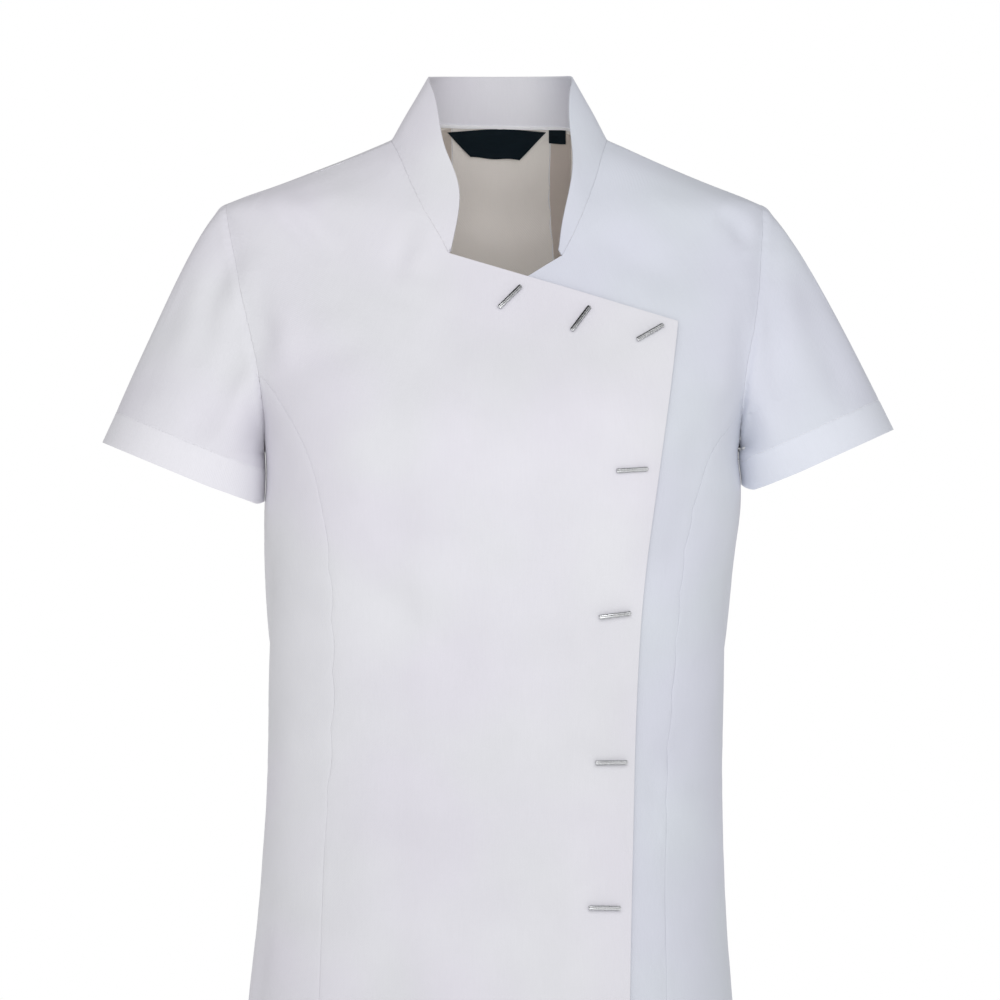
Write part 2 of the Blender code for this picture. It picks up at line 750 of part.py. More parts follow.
def sleeve_mouth_point(mouth, angle):
    centre = Vector(((mouth.outer_x + mouth.inner_x) / 2, mouth.centre_y,
                     (mouth.outer_z + mouth.inner_z) / 2))
    wide = Vector(((mouth.outer_x - mouth.inner_x) / 2, 0.0, (mouth.outer_z - mouth.inner_z) / 2))
    return centre + wide * math.cos(angle) + Vector((0.0, -mouth.half_depth * math.sin(angle), 0.0))


def sleeve_arriving(mouth, angle, sign):
    """Direction of the cloth at the mouth: flared on top, upright along the body."""
    lean = blend(SLEEVE_FLARE_TOP, SLEEVE_FLARE_BOTTOM, (1 - math.cos(angle)) / 2)
    return Vector((sign * math.sin(lean), 0.0, -math.cos(lean)))


def build_sleeve(side, material):
    angles, frames = armhole_frames(side)
    longness = {angle: (1 + math.cos(angle)) / 2 for angle in angles}
    lines = []
    for angle, frame in zip(angles, frames):
        start = frame.place + frame.across * (SEAM_GAP / 2)
        end = sleeve_mouth_point(side.mouth, angle)
        length = (end - start).length
        leave = frame.leaving * (length * SLEEVE_LEAVE)
        arrive = sleeve_arriving(side.mouth, angle, side.sign) * (length * SLEEVE_ARRIVE)
        hem_at = 1 - SLEEVE_HEM_DEPTH / length
        shares = [blend(short, long, longness[angle])
                  for short, long in zip(SLEEVE_ROWS_SHORT, SLEEVE_ROWS_LONG)]
        stations = [s * hem_at for s in shares]
        stations += [blend(hem_at, 1.0, s) for s in SLEEVE_HEM_ROWS]
        lines.append([hermite(start, end, leave, arrive, s) for s in stations])
    count = len(lines)
    rows = len(lines[0])
    outer = []
    inner = []
    for i in range(rows):
        outer.append([])
        inner.append([])
        for k in range(count):
            place = lines[k][i]
            around = lines[(k + 1) % count][i] - lines[k - 1][i]
            down = lines[k][min(i + 1, rows - 1)] - lines[k][max(i - 1, 0)]
            normal = around.cross(down).normalized() * side.sign
            if i == 0:
                normal = frames[k].normal
            extra = HEM_EXTRA if i >= len(SLEEVE_ROWS_LONG) else 0.0
            outer[-1].append(place + normal * (CLOTH / 2))
            inner[-1].append(place - normal * (CLOTH / 2 + extra))
    if side.sign < 0:
        outer = [line[::-1] for line in outer]
        inner = [line[::-1] for line in inner]
    return build_wall("sleeve_" + side.name, outer, inner, material, closed=True)


def cloth_height(cloth, place, normal):
    """How far the cloth's outside lies above a place, along the normal."""
    above = place + normal * BAR_PROBE_FROM
    hit = cloth.ray_cast(above * MM, -normal)[0]
    return (hit / MM - place).dot(normal)


def build_bar(number, bar, cloth, material):
    """A round bar with domed ends that lies on the overlap."""
    chart = (turn_at(bar.x, bar.z, FRONT), bar.z)
    normal = body_normal(*chart)
    place = lifted_point(*chart)
    level = (Vector((1.0, 0.0, 0.0)) - normal * normal.x).normalized()
    rise = level.cross(normal)
    if rise.z < 0:
        rise = -rise
    slant = math.radians(bar.slant)
    along = level * math.cos(slant) + rise * math.sin(slant)
    aside = along.cross(normal).normalized()
    half = BAR_LENGTH / 2
    seat = max(cloth_height(cloth, place + along * blend(-half, half, share), normal)
               for share in share_range(BAR_PROBES - 1))
    place = place + normal * (seat + BAR_SEAT + BAR_RADIUS)
    profile = [(-half + end.inset, BAR_RADIUS - end.drop) for end in BAR_END]
    profile += [(-reach, radius) for reach, radius in reversed(profile)]
    verts = []
    for reach, radius in profile:
        for k in range(BAR_SIDES):
            angle = 2 * math.pi * k / BAR_SIDES
            spoke = normal * math.cos(angle) + aside * math.sin(angle)
            verts.append((place + along * reach + spoke * radius) * MM)
    faces = []
    for i in range(len(profile) - 1):
        for k in range(BAR_SIDES):
            a = i * BAR_SIDES + k
            b = i * BAR_SIDES + (k + 1) % BAR_SIDES
            faces.append((a, b, b + BAR_SIDES, a + BAR_SIDES))
    faces.append(tuple(range(BAR_SIDES - 1, -1, -1)))
    last = (len(profile) - 1) * BAR_SIDES
    faces.append(tuple(range(last, last + BAR_SIDES)))
    return add_object("rod_%d" % number, verts, faces, material)


def build_label(tab, half_width, material):
    """A plain tab that lies on the inside of the back, under the collar seam."""
    outer = []
    inner = []
    for i in range(LABEL_ROWS + 1):
        v = i / LABEL_ROWS
        outer.append([])
        inner.append([])
        for j in range(LABEL_COLUMNS + 1):
            u = j / LABEL_COLUMNS
            top_x = blend(tab.top_right, tab.top_left, u)
            bottom_x = blend(tab.bottom_right, tab.bottom_left, u)
            x = blend(bottom_x, top_x, v)
            seam_z = neck_back_point(neck_plan_turn(top_x, half_width), half_width)[1]
            z = blend(tab.bottom_z, seam_z - tab.top_drop, v)
            turn = turn_at(x, z, BACK)
            normal = body_normal(turn, z)
            place = body_point(turn, z) - normal * (CLOTH / 2 + LABEL_CLEAR)
            outer[-1].append(place)
            inner[-1].append(place - normal * LABEL_WALL)
    return build_wall(tab.name, outer, inner, material)


def hem_edge(start, end, count):
    return free_edge(chart_chord(start, end, count), body_point)


def unwrap_edge(edge, around):
    charts = unwrap([point.chart for point in edge], around)
    return [point._replace(chart=chart) for point, chart in zip(edge, charts)]


def build_front(side, neck_front, princess, upper, shoulder):
    """A wide front: princess seam and armhole on one side, free edge and neck on the other."""
    collar_edge = mitred_edge(neck_front)
    corner = side.free_edge[-1]
    neck_end = (body_point(*collar_edge[0].chart).x, collar_edge[0].chart[1])
    heights = body_heights(corner.z, LAP_EDGE_ROWS)
    free = free_edge(chart_seam(side.free_edge, heights, 1, FRONT), side.surface)
    neckline_charts = lap_neckline((corner.x, corner.z), neck_end, NECKLINE_ROWS)
    free_side = [free, free_edge(neckline_charts, side.surface), collar_edge]
    seam_side = [flat_edge(princess, body_point, -side.sign), upper[::-1]]
    hem = hem_edge(princess[0], free[0].chart, FRONT_COLUMNS)
    if side.sign < 0:
        sides = (seam_side, free_side)
        ends = ([hem], [flat_edge(shoulder, side.surface, 1)])
    else:
        sides = (free_side, seam_side)
        ends = ([hem[::-1]], [flat_edge(shoulder[::-1], side.surface, 1)])
    build_panel(side.front, *sides, *ends, side.surface, cloth_material(side.front))


def build_side_front(side, princess, side_seam, lower):
    """From the princess seam to the side seam, under the lower front of the armhole."""
    name = "side_front_" + side.name
    princess_edge = flat_edge(princess, body_point, side.sign)
    seam_edge = flat_edge(side_seam, body_point, -side.sign)
    hem = hem_edge(side_seam[0], princess[0], ARMHOLE_LOWER)
    if side.sign < 0:
        edges = ([seam_edge], [princess_edge], [hem], [lower[::-1]])
    else:
        edges = ([princess_edge], [seam_edge], [hem[::-1]], [lower])
    build_panel(name, *edges, body_point, cloth_material(name))


def build_side_back(side, side_seam, behind, neck_side, shoulder):
    """From the long back seam to the side seam; gives the chart points of the long seam."""
    around = side.sign * SIDE_BACK_TURN
    join = neck_side[-1].chart
    low = [blend(HEM_Z, ARMHOLE_BOTTOM - BACK_ROWS_DROP, s) for s in share_range(BODY_ROWS)]
    high = [blend(low[-1], join[1], ease(s, BACK_ROW_EASE))
            for s in share_range(BACK_SEAM_ROWS - BODY_ROWS)]
    back_seam = chart_seam(BACK_SEAM, low + high[1:], side.sign, BACK)
    back_seam[-1] = join
    back_seam = unwrap(back_seam, around)
    inner_side = [
        flat_edge(back_seam, body_point, -side.sign),
        unwrap_edge(mitred_edge(neck_side[::-1]), around),
    ]
    outer_side = [
        flat_edge(unwrap(side_seam, around), body_point, side.sign),
        unwrap_edge(behind, around),
    ]
    hem = hem_edge(outer_side[0][0].chart, back_seam[0], SIDE_BACK_COLUMNS)
    top = unwrap(shoulder, around)
    if side.sign < 0:
        edges = (inner_side, outer_side, [hem[::-1]], [flat_edge(top[::-1], body_point, 1)])
    else:
        edges = (outer_side, inner_side, [hem], [flat_edge(top, body_point, 1)])
    name = "side_back_" + side.name
    build_panel(name, *edges, body_point, cloth_material(name))
    return back_seam


def build_side(side, neck_front, neck_side):
    """All the cloth of one side but the collar; gives the chart points of its back seam."""
    _, frames = armhole_frames(side)
    underarm = ARMHOLE_UPPER + ARMHOLE_LOWER
    upper = mitred_edge(frames[:ARMHOLE_UPPER + 1])
    lower = mitred_edge(frames[ARMHOLE_UPPER:underarm + 1])
    behind = mitred_edge(frames[underarm:] + frames[:1])
    princess = chart_seam(side.princess, body_heights(side.princess[-1].z, BODY_ROWS), 1, FRONT)
    princess[-1] = upper[-1].chart
    side_seam = [(side.sign * math.pi / 2, z) for z in body_heights(ARMHOLE_BOTTOM, BODY_ROWS)]
    side_seam[-1] = lower[-1].chart
    shoulder_ends = (upper[0].chart, neck_front[-1].chart)
    build_front(side, neck_front, princess, upper, chart_chord(*shoulder_ends, FRONT_COLUMNS))
    build_side_front(side, princess, side_seam, lower)
    build_sleeve(side, cloth_material("sleeve_" + side.name))
    return build_side_back(side, side_seam, behind, neck_side,
                           chart_chord(*shoulder_ends, SIDE_BACK_COLUMNS))


def build_back_centre(back_seams, neck):
    """Between the two long seams, up to the middle of the collar."""
    seam_left = unwrap(back_seams["left"], BACK_TURN)
    seam_right = unwrap(back_seams["right"], BACK_TURN)
    first = COLLAR_FRONT + COLLAR_SIDE
    back_neck = mitred_edge(neck[first:first + BACK_COLUMNS + 1][::-1])
    build_panel("back_centre",
                [flat_edge(seam_left, body_point, 1)],
                [flat_edge(seam_right, body_point, -1)],
                [hem_edge(seam_left[0], seam_right[0], BACK_COLUMNS)],
                [unwrap_edge(back_neck, BACK_TURN)],
                body_point, cloth_material("back_centre"))


def build_labels():
    half_width, _ = neck_ellipse(RIGHT)
    navy = add_material("navy_cloth", NAVY_CLOTH)
    for tab in (LABEL_NECK, LABEL_SIZE):
        build_label(tab, half_width, navy)


def build_bars():
    """The bars lie on the overlap as it is built, so they find its height with rays."""
    chrome = add_material("chrome", CHROME)
    overlap = bpy.data.objects["front_overlap"].data
    cloth = BVHTree.FromPolygons([v.co for v in overlap.vertices],
                                 [face.vertices for face in overlap.polygons])
    for number, bar in enumerate(BARS, 1):
        build_bar(number, bar, cloth, chrome)


def build_tunic():
    neck, rims = collar_frames()
    build_collar(neck, rims, cloth_material("collar"))
    back_seams = {}
    for side, line in ((RIGHT, neck), (LEFT, neck[::-1])):
        neck_front = line[:COLLAR_FRONT + 1]
        neck_side = line[COLLAR_FRONT:COLLAR_FRONT + COLLAR_SIDE + 1]
        back_seams[side.name] = build_side(side, neck_front, neck_side)
    build_back_centre(back_seams, neck)
    build_labels()
    build_bars()


def clear_scene():
    for thing in list(bpy.data.objects):
        bpy.data.objects.remove(thing, do_unlink=True)


clear_scene()
build_tunic()
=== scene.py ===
# Looks of the white work tunic: cloth, sewing, labels, bar fasteners and the studio.
# Metres, +Z up, the front faces -Y, +X is the wearer's left.
import math

import bmesh
import bpy
import numpy as np
from mathutils import Matrix, Vector, noise
from mathutils.bvhtree import BVHTree
from mathutils.kdtree import KDTree


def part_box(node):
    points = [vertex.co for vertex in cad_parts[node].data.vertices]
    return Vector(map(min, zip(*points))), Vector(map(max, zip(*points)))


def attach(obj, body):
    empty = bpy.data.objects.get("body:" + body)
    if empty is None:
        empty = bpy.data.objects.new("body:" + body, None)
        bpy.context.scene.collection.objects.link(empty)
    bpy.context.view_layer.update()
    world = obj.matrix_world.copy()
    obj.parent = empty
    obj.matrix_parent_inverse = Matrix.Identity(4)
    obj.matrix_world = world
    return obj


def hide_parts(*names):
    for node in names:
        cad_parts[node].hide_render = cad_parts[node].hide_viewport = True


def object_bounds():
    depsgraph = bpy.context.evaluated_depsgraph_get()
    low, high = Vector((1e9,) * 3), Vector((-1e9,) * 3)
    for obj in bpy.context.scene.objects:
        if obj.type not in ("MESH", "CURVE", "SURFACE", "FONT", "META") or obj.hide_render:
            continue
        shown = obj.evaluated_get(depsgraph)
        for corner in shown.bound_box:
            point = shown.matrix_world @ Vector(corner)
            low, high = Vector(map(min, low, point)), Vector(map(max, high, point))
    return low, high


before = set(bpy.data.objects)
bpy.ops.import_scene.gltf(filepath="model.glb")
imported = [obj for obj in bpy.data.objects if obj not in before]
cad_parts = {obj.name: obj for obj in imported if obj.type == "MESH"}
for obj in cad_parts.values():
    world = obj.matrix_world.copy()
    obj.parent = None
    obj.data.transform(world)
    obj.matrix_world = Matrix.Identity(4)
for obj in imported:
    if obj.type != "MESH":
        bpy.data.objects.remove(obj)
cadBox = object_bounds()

mm = 0.001
tiny = 1e-6
up = Vector((0, 0, 1))


# small helpers

def deselectAll():
    if bpy.context.mode != "OBJECT":
        bpy.ops.object.mode_set(mode="OBJECT")
    bpy.ops.object.select_all(action="DESELECT")


def makeActive(thing):
    deselectAll()
    thing.select_set(True)
    bpy.context.view_layer.objects.active = thing


def applyModifier(thing, kind, **settings):
    makeActive(thing)
    modifier = thing.modifiers.new(kind.title(), kind)
    for name, value in settings.items():
        setattr(modifier, name, value)
    bpy.ops.object.modifier_apply(modifier=modifier.name)


def newObject(name, data):
    thing = bpy.data.objects.new(name, data)
    bpy.context.scene.collection.objects.link(thing)
    return thing


def loadMesh(mesh):
    bm = bmesh.new()
    bm.from_mesh(mesh)
    return bm


def storeMesh(bm, mesh):
    bm.to_mesh(mesh)
    bm.free()


def smoothByAngle(thing, degrees):
    makeActive(thing)
    bpy.ops.object.shade_smooth_by_angle(angle=math.radians(degrees))


def declare(thing):
    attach(thing, "root")


def treeOf(points):
    tree = KDTree(len(points))
    for i, point in enumerate(points):
        tree.insert(point, i)
    tree.balance()
    return tree


def lengthsAlong(points):
    steps = np.linalg.norm(np.diff(points, axis=0), axis=1)
    return np.concatenate([[0], np.cumsum(steps)])


def resample(points, step):
    # evenly spaced points along a row of points
    points = np.array(points)
    lengths = lengthsAlong(points)
    count = max(int(round(lengths[-1] / step)), 2)
    wanted = np.linspace(0, lengths[-1], count + 1)
    return [Vector([np.interp(w, lengths, points[:, axis]) for axis in range(3)]) for w in wanted]


def smoothStep(value, start, end):
    s = min(max((value - start) / (end - start), 0.0), 1.0)
    return s * s * (3 - 2 * s)


def toLinear(hexColour):
    channels = [int(hexColour[i:i + 2], 16) / 255 for i in (1, 3, 5)]
    return tuple(c / 12.92 if c <= 0.04045 else ((c + 0.055) / 1.055) ** 2.4 for c in channels) + (1.0,)


# camera: level, with a long lens, so that the front shows no larger than the back
camera = {
    "distance": 30.0,
    "pictureWidth": 0.745,      # what the picture spans at the middle of the body
    "centreX": -0.0007,
    "centreZ": -0.2645,
    "sensor": 36.0,
}


def buildCamera():
    data = bpy.data.cameras.new("camera")
    data.sensor_width = camera["sensor"]
    data.lens = camera["sensor"] * camera["distance"] / camera["pictureWidth"]
    data.clip_end = 3 * camera["distance"]
    thing = newObject("camera", data)
    thing.location = (camera["centreX"], -camera["distance"], camera["centreZ"])
    thing.rotation_euler = (math.radians(90), 0, 0)
    bpy.context.scene.camera = thing


buildCamera()
print("camera placed")


# materials

def addNode(material, kind, settings, links=None):
    # adds a node: settings go to its sockets or properties, links join other nodes' sockets to it
    node = material.node_tree.nodes.new("ShaderNode" + kind)
    for name, value in settings.items():
        if isinstance(name, int) or name in node.inputs:
            node.inputs[name].default_value = value
        else:
            setattr(node, name, value)
    for name, source in (links or {}).items():
        material.node_tree.links.new(source, node.inputs[name])
    return node


def newMaterial(name, settings):
    material = bpy.data.materials.new(name)
    material.use_nodes = True
    shader = material.node_tree.nodes["Principled BSDF"]
    for socket, value in settings.items():
        shader.inputs[socket].default_value = value
    return material


def feed(material, links):
    # joins sockets of other nodes to the material's shader
    shader = material.node_tree.nodes["Principled BSDF"]
    for socket, source in links.items():
        material.node_tree.links.new(source, shader.inputs[socket])


def noiseNode(material, scale, detail, place, **settings):
    return addNode(material, "TexNoise", {"Scale": scale, "Detail": detail, **settings},
                   {"Vector": place}).outputs["Fac"]


def rangeNode(material, value, lowest, highest, least=0.0, most=1.0):
    return addNode(material, "MapRange", {"From Min": lowest, "From Max": highest, "To Min": least,
                   "To Max": most}, {"Value": value}).outputs["Result"]


def mixNode(material, share, one, other, blend="MIX"):
    # one and other are colours or sockets
    pair = {6: one, 7: other}
    fixed = {number: end for number, end in pair.items() if isinstance(end, tuple)}
    linked = {number: end for number, end in pair.items() if number not in fixed}
    return addNode(material, "Mix", {"data_type": "RGBA", "blend_type": blend, **fixed},
                   {0: share, **linked}).outputs[2]


twill = {
    # two tints in soft patches, and the tone where two layers lie together
    "white": ("#DEDCE4", "#DEDEE3", "#E5E4EA"),
    "coolShade": (0.91, 0.95, 0.985, 1),                 # painted shade: times the white, a darker and bluer cast of cooler light on the wearer's left front
    # painted light: the inside cloth is lighter and warmer than the outside, standing in for light that
    # shines through the thin cloth into the shaded inside
    "inside": ("#F5EFEA", "#F5F1EA", "#F5EFEA"),
    "allowance": ("#CDC1BA", "#CEC5BA", "#CDC1BA"), # less light comes through a seam's cloth
    "tape": ("#F6F6FA", "#F6F6FA", "#F6F6FA"),
    "ribPitch": 1.5 * mm,       # real ribs are 0.5 mm apart, and are drawn coarser so that they show
    "wavePitch": 0.444,         # Blender's diagonal bands have this pitch at a scale of 1
    "slubWidth": 1.2 * mm, "slubLength": 18 * mm, "slubShare": 0.35,        # thicker yarns
    "ribHeight": 0.05 * mm,
    "handling": 22 * mm,        # size of the soft dents that handling leaves
    "handlingHeight": 0.25 * mm,
    "mottle": 70 * mm,
    "patch": 105 * mm, "patchEdges": (0.38, 0.62),
    "noiseEdges": (0.3, 0.7),   # noise seldom leaves this range
    "darkest": {"mottle": 0.95, "slub": 0.985},
}
# sizes of the thread's twist, the tab's threads and the wear of the metal
grain = {"twist": 0.6 * mm, "satinWide": 6 * mm, "satinPitch": 0.7 * mm, "wear": 1.5 * mm}


def polyCottonTwill(name, hexColours):
    # polyester and cotton twill, woven and pressed: matt white with a faint diagonal rib
    material = newMaterial(name, {"Roughness": 0.82, "Sheen Weight": 0.12, "Sheen Roughness": 0.5,
                                  "Specular IOR Level": 0.25})
    uv = addNode(material, "UVMap", {"uv_map": "cloth"}).outputs["UV"]
    place = addNode(material, "TexCoord", {}).outputs["Object"]
    ribs = addNode(material, "TexWave", {
        "bands_direction": "DIAGONAL", "wave_profile": "SIN",
        "Scale": twill["wavePitch"] / twill["ribPitch"],
        "Distortion": 0.6, "Detail": 1.0, "Detail Scale": 1.5}, {"Vector": uv})
    stretch = addNode(material, "Mapping", {
        "Scale": (1 / twill["slubWidth"], 1 / twill["slubLength"], 1)}, {"Vector": uv})
    slubs = noiseNode(material, 1.0, 2.0, stretch.outputs["Vector"])
    handling = noiseNode(material, 1 / twill["handling"], 3.0, place, Roughness=0.45)
    mottle = noiseNode(material, 1 / twill["mottle"], 2.0, place)
    patches = noiseNode(material, 1 / twill["patch"], 1.0, place)
    layers, coolShade = [addNode(material, "Attribute", {"attribute_name": attribute}).outputs["Fac"]
                    for attribute in ("layers", "coolShade")]
    one, other, double = [toLinear(hexColour) for hexColour in hexColours]
    tint = mixNode(material, rangeNode(material, patches, *twill["patchEdges"]), one, other)
    tone = mixNode(material, layers, tint, double)
    # painted shade: where the second attribute is set, the white is darkened and turned bluer, a cooler
    # cast of light painted on
    coolShaded = mixNode(material, coolShade, tone, twill["coolShade"], "MULTIPLY")
    shade = rangeNode(material, mottle, *twill["noiseEdges"], twill["darkest"]["mottle"])
    yarn = rangeNode(material, slubs, *twill["noiseEdges"], twill["darkest"]["slub"])
    both = addNode(material, "Math", {"operation": "MULTIPLY"}, {0: shade, 1: yarn})
    colour = addNode(material, "HueSaturation", {}, {"Color": coolShaded, "Value": both.outputs["Value"]})
    weave = addNode(material, "Math", {"operation": "MULTIPLY_ADD", 1: twill["slubShare"]},
                    {0: slubs, 2: ribs.outputs["Fac"]})
    fine = addNode(material, "Bump", {"Strength": 0.6, "Distance": twill["ribHeight"]},
                   {"Height": weave.outputs["Value"]})
    broad = addNode(material, "Bump", {"Strength": 1.0, "Distance": twill["handlingHeight"]},
                    {"Height": handling, "Normal": fine.outputs["Normal"]})
    feed(material, {"Base Color": colour.outputs["Color"], "Normal": broad.outputs["Normal"]})
    return material


def polyesterThread():
    # spun polyester sewing thread: white, a little glossier than the cloth, with a twist
    material = newMaterial("polyesterThread", {"Roughness": 0.55, "Sheen Weight": 0.1})
    place = addNode(material, "TexCoord", {}).outputs["Object"]
    twist = noiseNode(material, 1 / grain["twist"], 1.0, place)
    tone = mixNode(material, twist, toLinear("#D8D8DE"), toLinear("#F2F2F5"))
    feed(material, {"Base Color": tone})
    return material


def navySatinTab():
    # polyester satin label: woven, navy, smooth, with a faint sheen along its threads
    material = newMaterial("navySatinTab", {"Roughness": 0.6, "Specular IOR Level": 0.15})
    place = addNode(material, "TexCoord", {}).outputs["Object"]
    scale = [1 / grain[key] for key in ("satinWide", "satinWide", "satinPitch")]
    stretch = addNode(material, "Mapping", {"Scale": scale}, {"Vector": place})
    threads = noiseNode(material, 1.0, 2.0, stretch.outputs["Vector"])
    tone = mixNode(material, threads, toLinear("#030F16"), toLinear("#0A1B25"))
    bump = addNode(material, "Bump", {"Strength": 0.5, "Distance": 0.08 * mm}, {"Height": threads})
    feed(material, {"Base Color": tone, "Normal": bump.outputs["Normal"]})
    return material


def polishedChrome():
    # chromed brass, polished: mirror-like, with faint wear in its gloss
    material = newMaterial("polishedChrome", {"Metallic": 1.0, "Base Color": toLinear("#F1F2F4")})
    place = addNode(material, "TexCoord", {}).outputs["Object"]
    wear = noiseNode(material, 1 / grain["wear"], 3.0, place)
    feed(material, {"Roughness": rangeNode(material, wear, 0.35, 0.7, 0.12, 0.18)})
    return material


def giveMaterials(thing, *materials):
    thing.data.materials.clear()
    for material in materials:
        thing.data.materials.append(material)


whiteTwill = polyCottonTwill("polyCottonTwill", twill["white"])
paintedLightInsideTwill = polyCottonTwill("polyCottonTwillInsidePaintedLight", twill["inside"])
allowanceTwill = polyCottonTwill("polyCottonTwillAllowance", twill["allowance"])
cottonTape = polyCottonTwill("cottonTape", twill["tape"])
thread = polyesterThread()
chrome = polishedChrome()
navy = navySatinTab()
print("materials made")


# cloth: the outer skins of the CAD pieces are joined at their seams, smoothed and creased as
# one garment, then cut apart again along the seams

clothNodes = [
    "front_overlap", "front_under", "side_front_right", "side_front_left", "back_centre",
    "side_back_right", "side_back_left", "sleeve_right", "sleeve_left", "collar",
]
numberOf = {name: number for number, name in enumerate(clothNodes)}
bodyNames = [name for name in clothNodes if not name.startswith("sleeve") and name != "collar"]
cloth = {
    "mergeDoubles": 0.02 * mm,
    "thickest": 2.6 * mm,       # a skin has its other side this near
    "sampled": 0.3,             # where a face is tried, from its middle towards each corner
    "under": 0.05 * mm,         # how far under the face the ray starts
    "opposed": -0.8,            # the other side's normal against the face's
    "flatAngle": 50.0,          # between two faces of one skin
    "quadAngle": 50.0,          # two triangles that are flatter than this make a quad
    "quadShape": 70.0,
    "seamWeld": 1.35 * mm,      # wider than a seam's gap
    "levels": 3,
    "creaseArmhole": 0.5,       # how sharp a seam stays when it is smoothed
    "creaseCollar": 0.8,
    "cornerTurn": 28.0,         # a free edge that turns more than this has a corner
    "fitRounds": 3,             # rounds that bring the smoothed cloth back onto its solids
    "thickness": 0.9 * mm,
    "collarThickness": 1.4 * mm,
    "seamGap": 0.02 * mm,       # each side of a seam
    "smoothAngle": 48.0,
}


def skinRegions(bm):
    # a face of a skin has the other skin close behind it, and a face of the rim doesn't
    tree = BVHTree.FromBMesh(bm)
    waiting = set()
    for face in bm.faces:
        middle = face.calc_center_median()
        for v in face.verts:
            start = middle.lerp(v.co, cloth["sampled"]) - face.normal * cloth["under"]
            hit, normal, index, distance = tree.ray_cast(start, -face.normal, cloth["thickest"])
            if hit and normal.dot(face.normal) < cloth["opposed"]:
                waiting.add(face)
                break
    limit = math.radians(cloth["flatAngle"])
    regions = []
    while waiting:
        stack = [waiting.pop()]
        region = []
        while stack:
            face = stack.pop()
            region.append(face)
            for edge in face.edges:
                if edge.calc_face_angle(0) < limit:
                    for other in edge.link_faces:
                        if other in waiting:
                            waiting.remove(other)
                            stack.append(other)
        regions.append(region)
    regions.sort(key=lambda region: -sum(face.calc_area() for face in region))
    return regions


def outerSkin(name, number):
    # one node's outside as quads, with its number as the faces' material
    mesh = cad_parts[name].data.copy()
    mesh.materials.clear()
    bm = loadMesh(mesh)
    bmesh.ops.remove_doubles(bm, verts=bm.verts, dist=cloth["mergeDoubles"])
    bm.normal_update()
    regions = skinRegions(bm)
    middle = sum((v.co for v in bm.verts), Vector()) / len(bm.verts)
    axis = Vector((middle.x, middle.y, 0)) if name.startswith("sleeve") else Vector()

    def outwardness(region):
        total = 0
        for face in region:
            away = face.calc_center_median() - axis
            away.z = 0
            total += face.normal.dot(away.normalized()) * face.calc_area()
        return total

    keep = set(max(regions[:2], key=outwardness))
    bmesh.ops.delete(bm, geom=[face for face in bm.faces if face not in keep], context="FACES")
    bmesh.ops.join_triangles(bm, faces=bm.faces,
                             angle_face_threshold=math.radians(cloth["quadAngle"]),
                             angle_shape_threshold=math.radians(cloth["quadShape"]))
    for face in bm.faces:
        face.material_index = number
        face.smooth = True
    storeMesh(bm, mesh)
    return mesh


def weldSeams(bm):
    # each point on a piece's border meets the nearest one on each neighbour's border
    rim = [v for v in bm.verts if v.is_boundary]
    owner = [v.link_faces[0].material_index for v in rim]
    tree = treeOf([v.co for v in rim])
    lapped = {numberOf["front_overlap"], numberOf["front_under"]}      # these two aren't sewn together

    def partners(i):
        found = {}
        for place, j, distance in tree.find_range(rim[i].co, cloth["seamWeld"]):
            if owner[j] != owner[i] and {owner[i], owner[j]} != lapped:
                if owner[j] not in found or distance < found[owner[j]][0]:
                    found[owner[j]] = (distance, j)
        return {j for distance, j in found.values()}

    near = [partners(i) for i in range(len(rim))]
    leader = list(range(len(rim)))

    def head(i):
        while leader[i] != i:
            i = leader[i]
        return i

    mutual = set()
    for i in range(len(rim)):
        for j in near[i]:
            if i in near[j]:
                leader[head(j)] = head(i)
                mutual.add(i)
    for i in range(len(rim)):                       # a point with no partner joins the nearest one
        if near[i] and i not in mutual:
            j = min(near[i], key=lambda j: (rim[j].co - rim[i].co).length)
            leader[head(i)] = head(j)
    groups = {}
    for i in range(len(rim)):
        groups.setdefault(head(i), []).append(rim[i])
    targets = {}
    for group in groups.values():
        if len(group) > 1:
            middle = sum((v.co for v in group), Vector()) / len(group)
            group[0].co = middle
            for v in group[1:]:
                targets[v] = group[0]
    bmesh.ops.weld_verts(bm, targetmap=targets)


def joinSkins():
    bm = bmesh.new()
    for number, name in enumerate(clothNodes):
        mesh = outerSkin(name, number)
        bm.from_mesh(mesh)
        bpy.data.meshes.remove(mesh)
    weldSeams(bm)
    sharp = bm.edges.layers.float.new("crease_edge")
    sharpCorner = bm.verts.layers.float.new("crease_vert")
    for v in bm.verts:
        rim = [line.other_vert(v).co - v.co for line in v.link_edges if line.is_boundary]
        if len(rim) == 2 and rim[0].angle(-rim[1]) > math.radians(cloth["cornerTurn"]):
            v[sharpCorner] = 1
    collar = numberOf["collar"]
    sleeves = {numberOf["sleeve_right"], numberOf["sleeve_left"]}
    for edge in bm.edges:
        pieces = {face.material_index for face in edge.link_faces}
        if len(pieces) > 1:
            if collar in pieces:
                edge[sharp] = cloth["creaseCollar"]
            elif pieces & sleeves:
                edge[sharp] = cloth["creaseArmhole"]
    mesh = bpy.data.meshes.new("skin")
    storeMesh(bm, mesh)
    return newObject("skin", mesh)


def places(mesh):
    values = np.empty(len(mesh.vertices) * 3, np.float64)
    mesh.vertices.foreach_get("co", values)
    return values.reshape(-1, 3)


def setPlaces(mesh, values):
    mesh.vertices.foreach_set("co", values.reshape(-1))
    mesh.update()


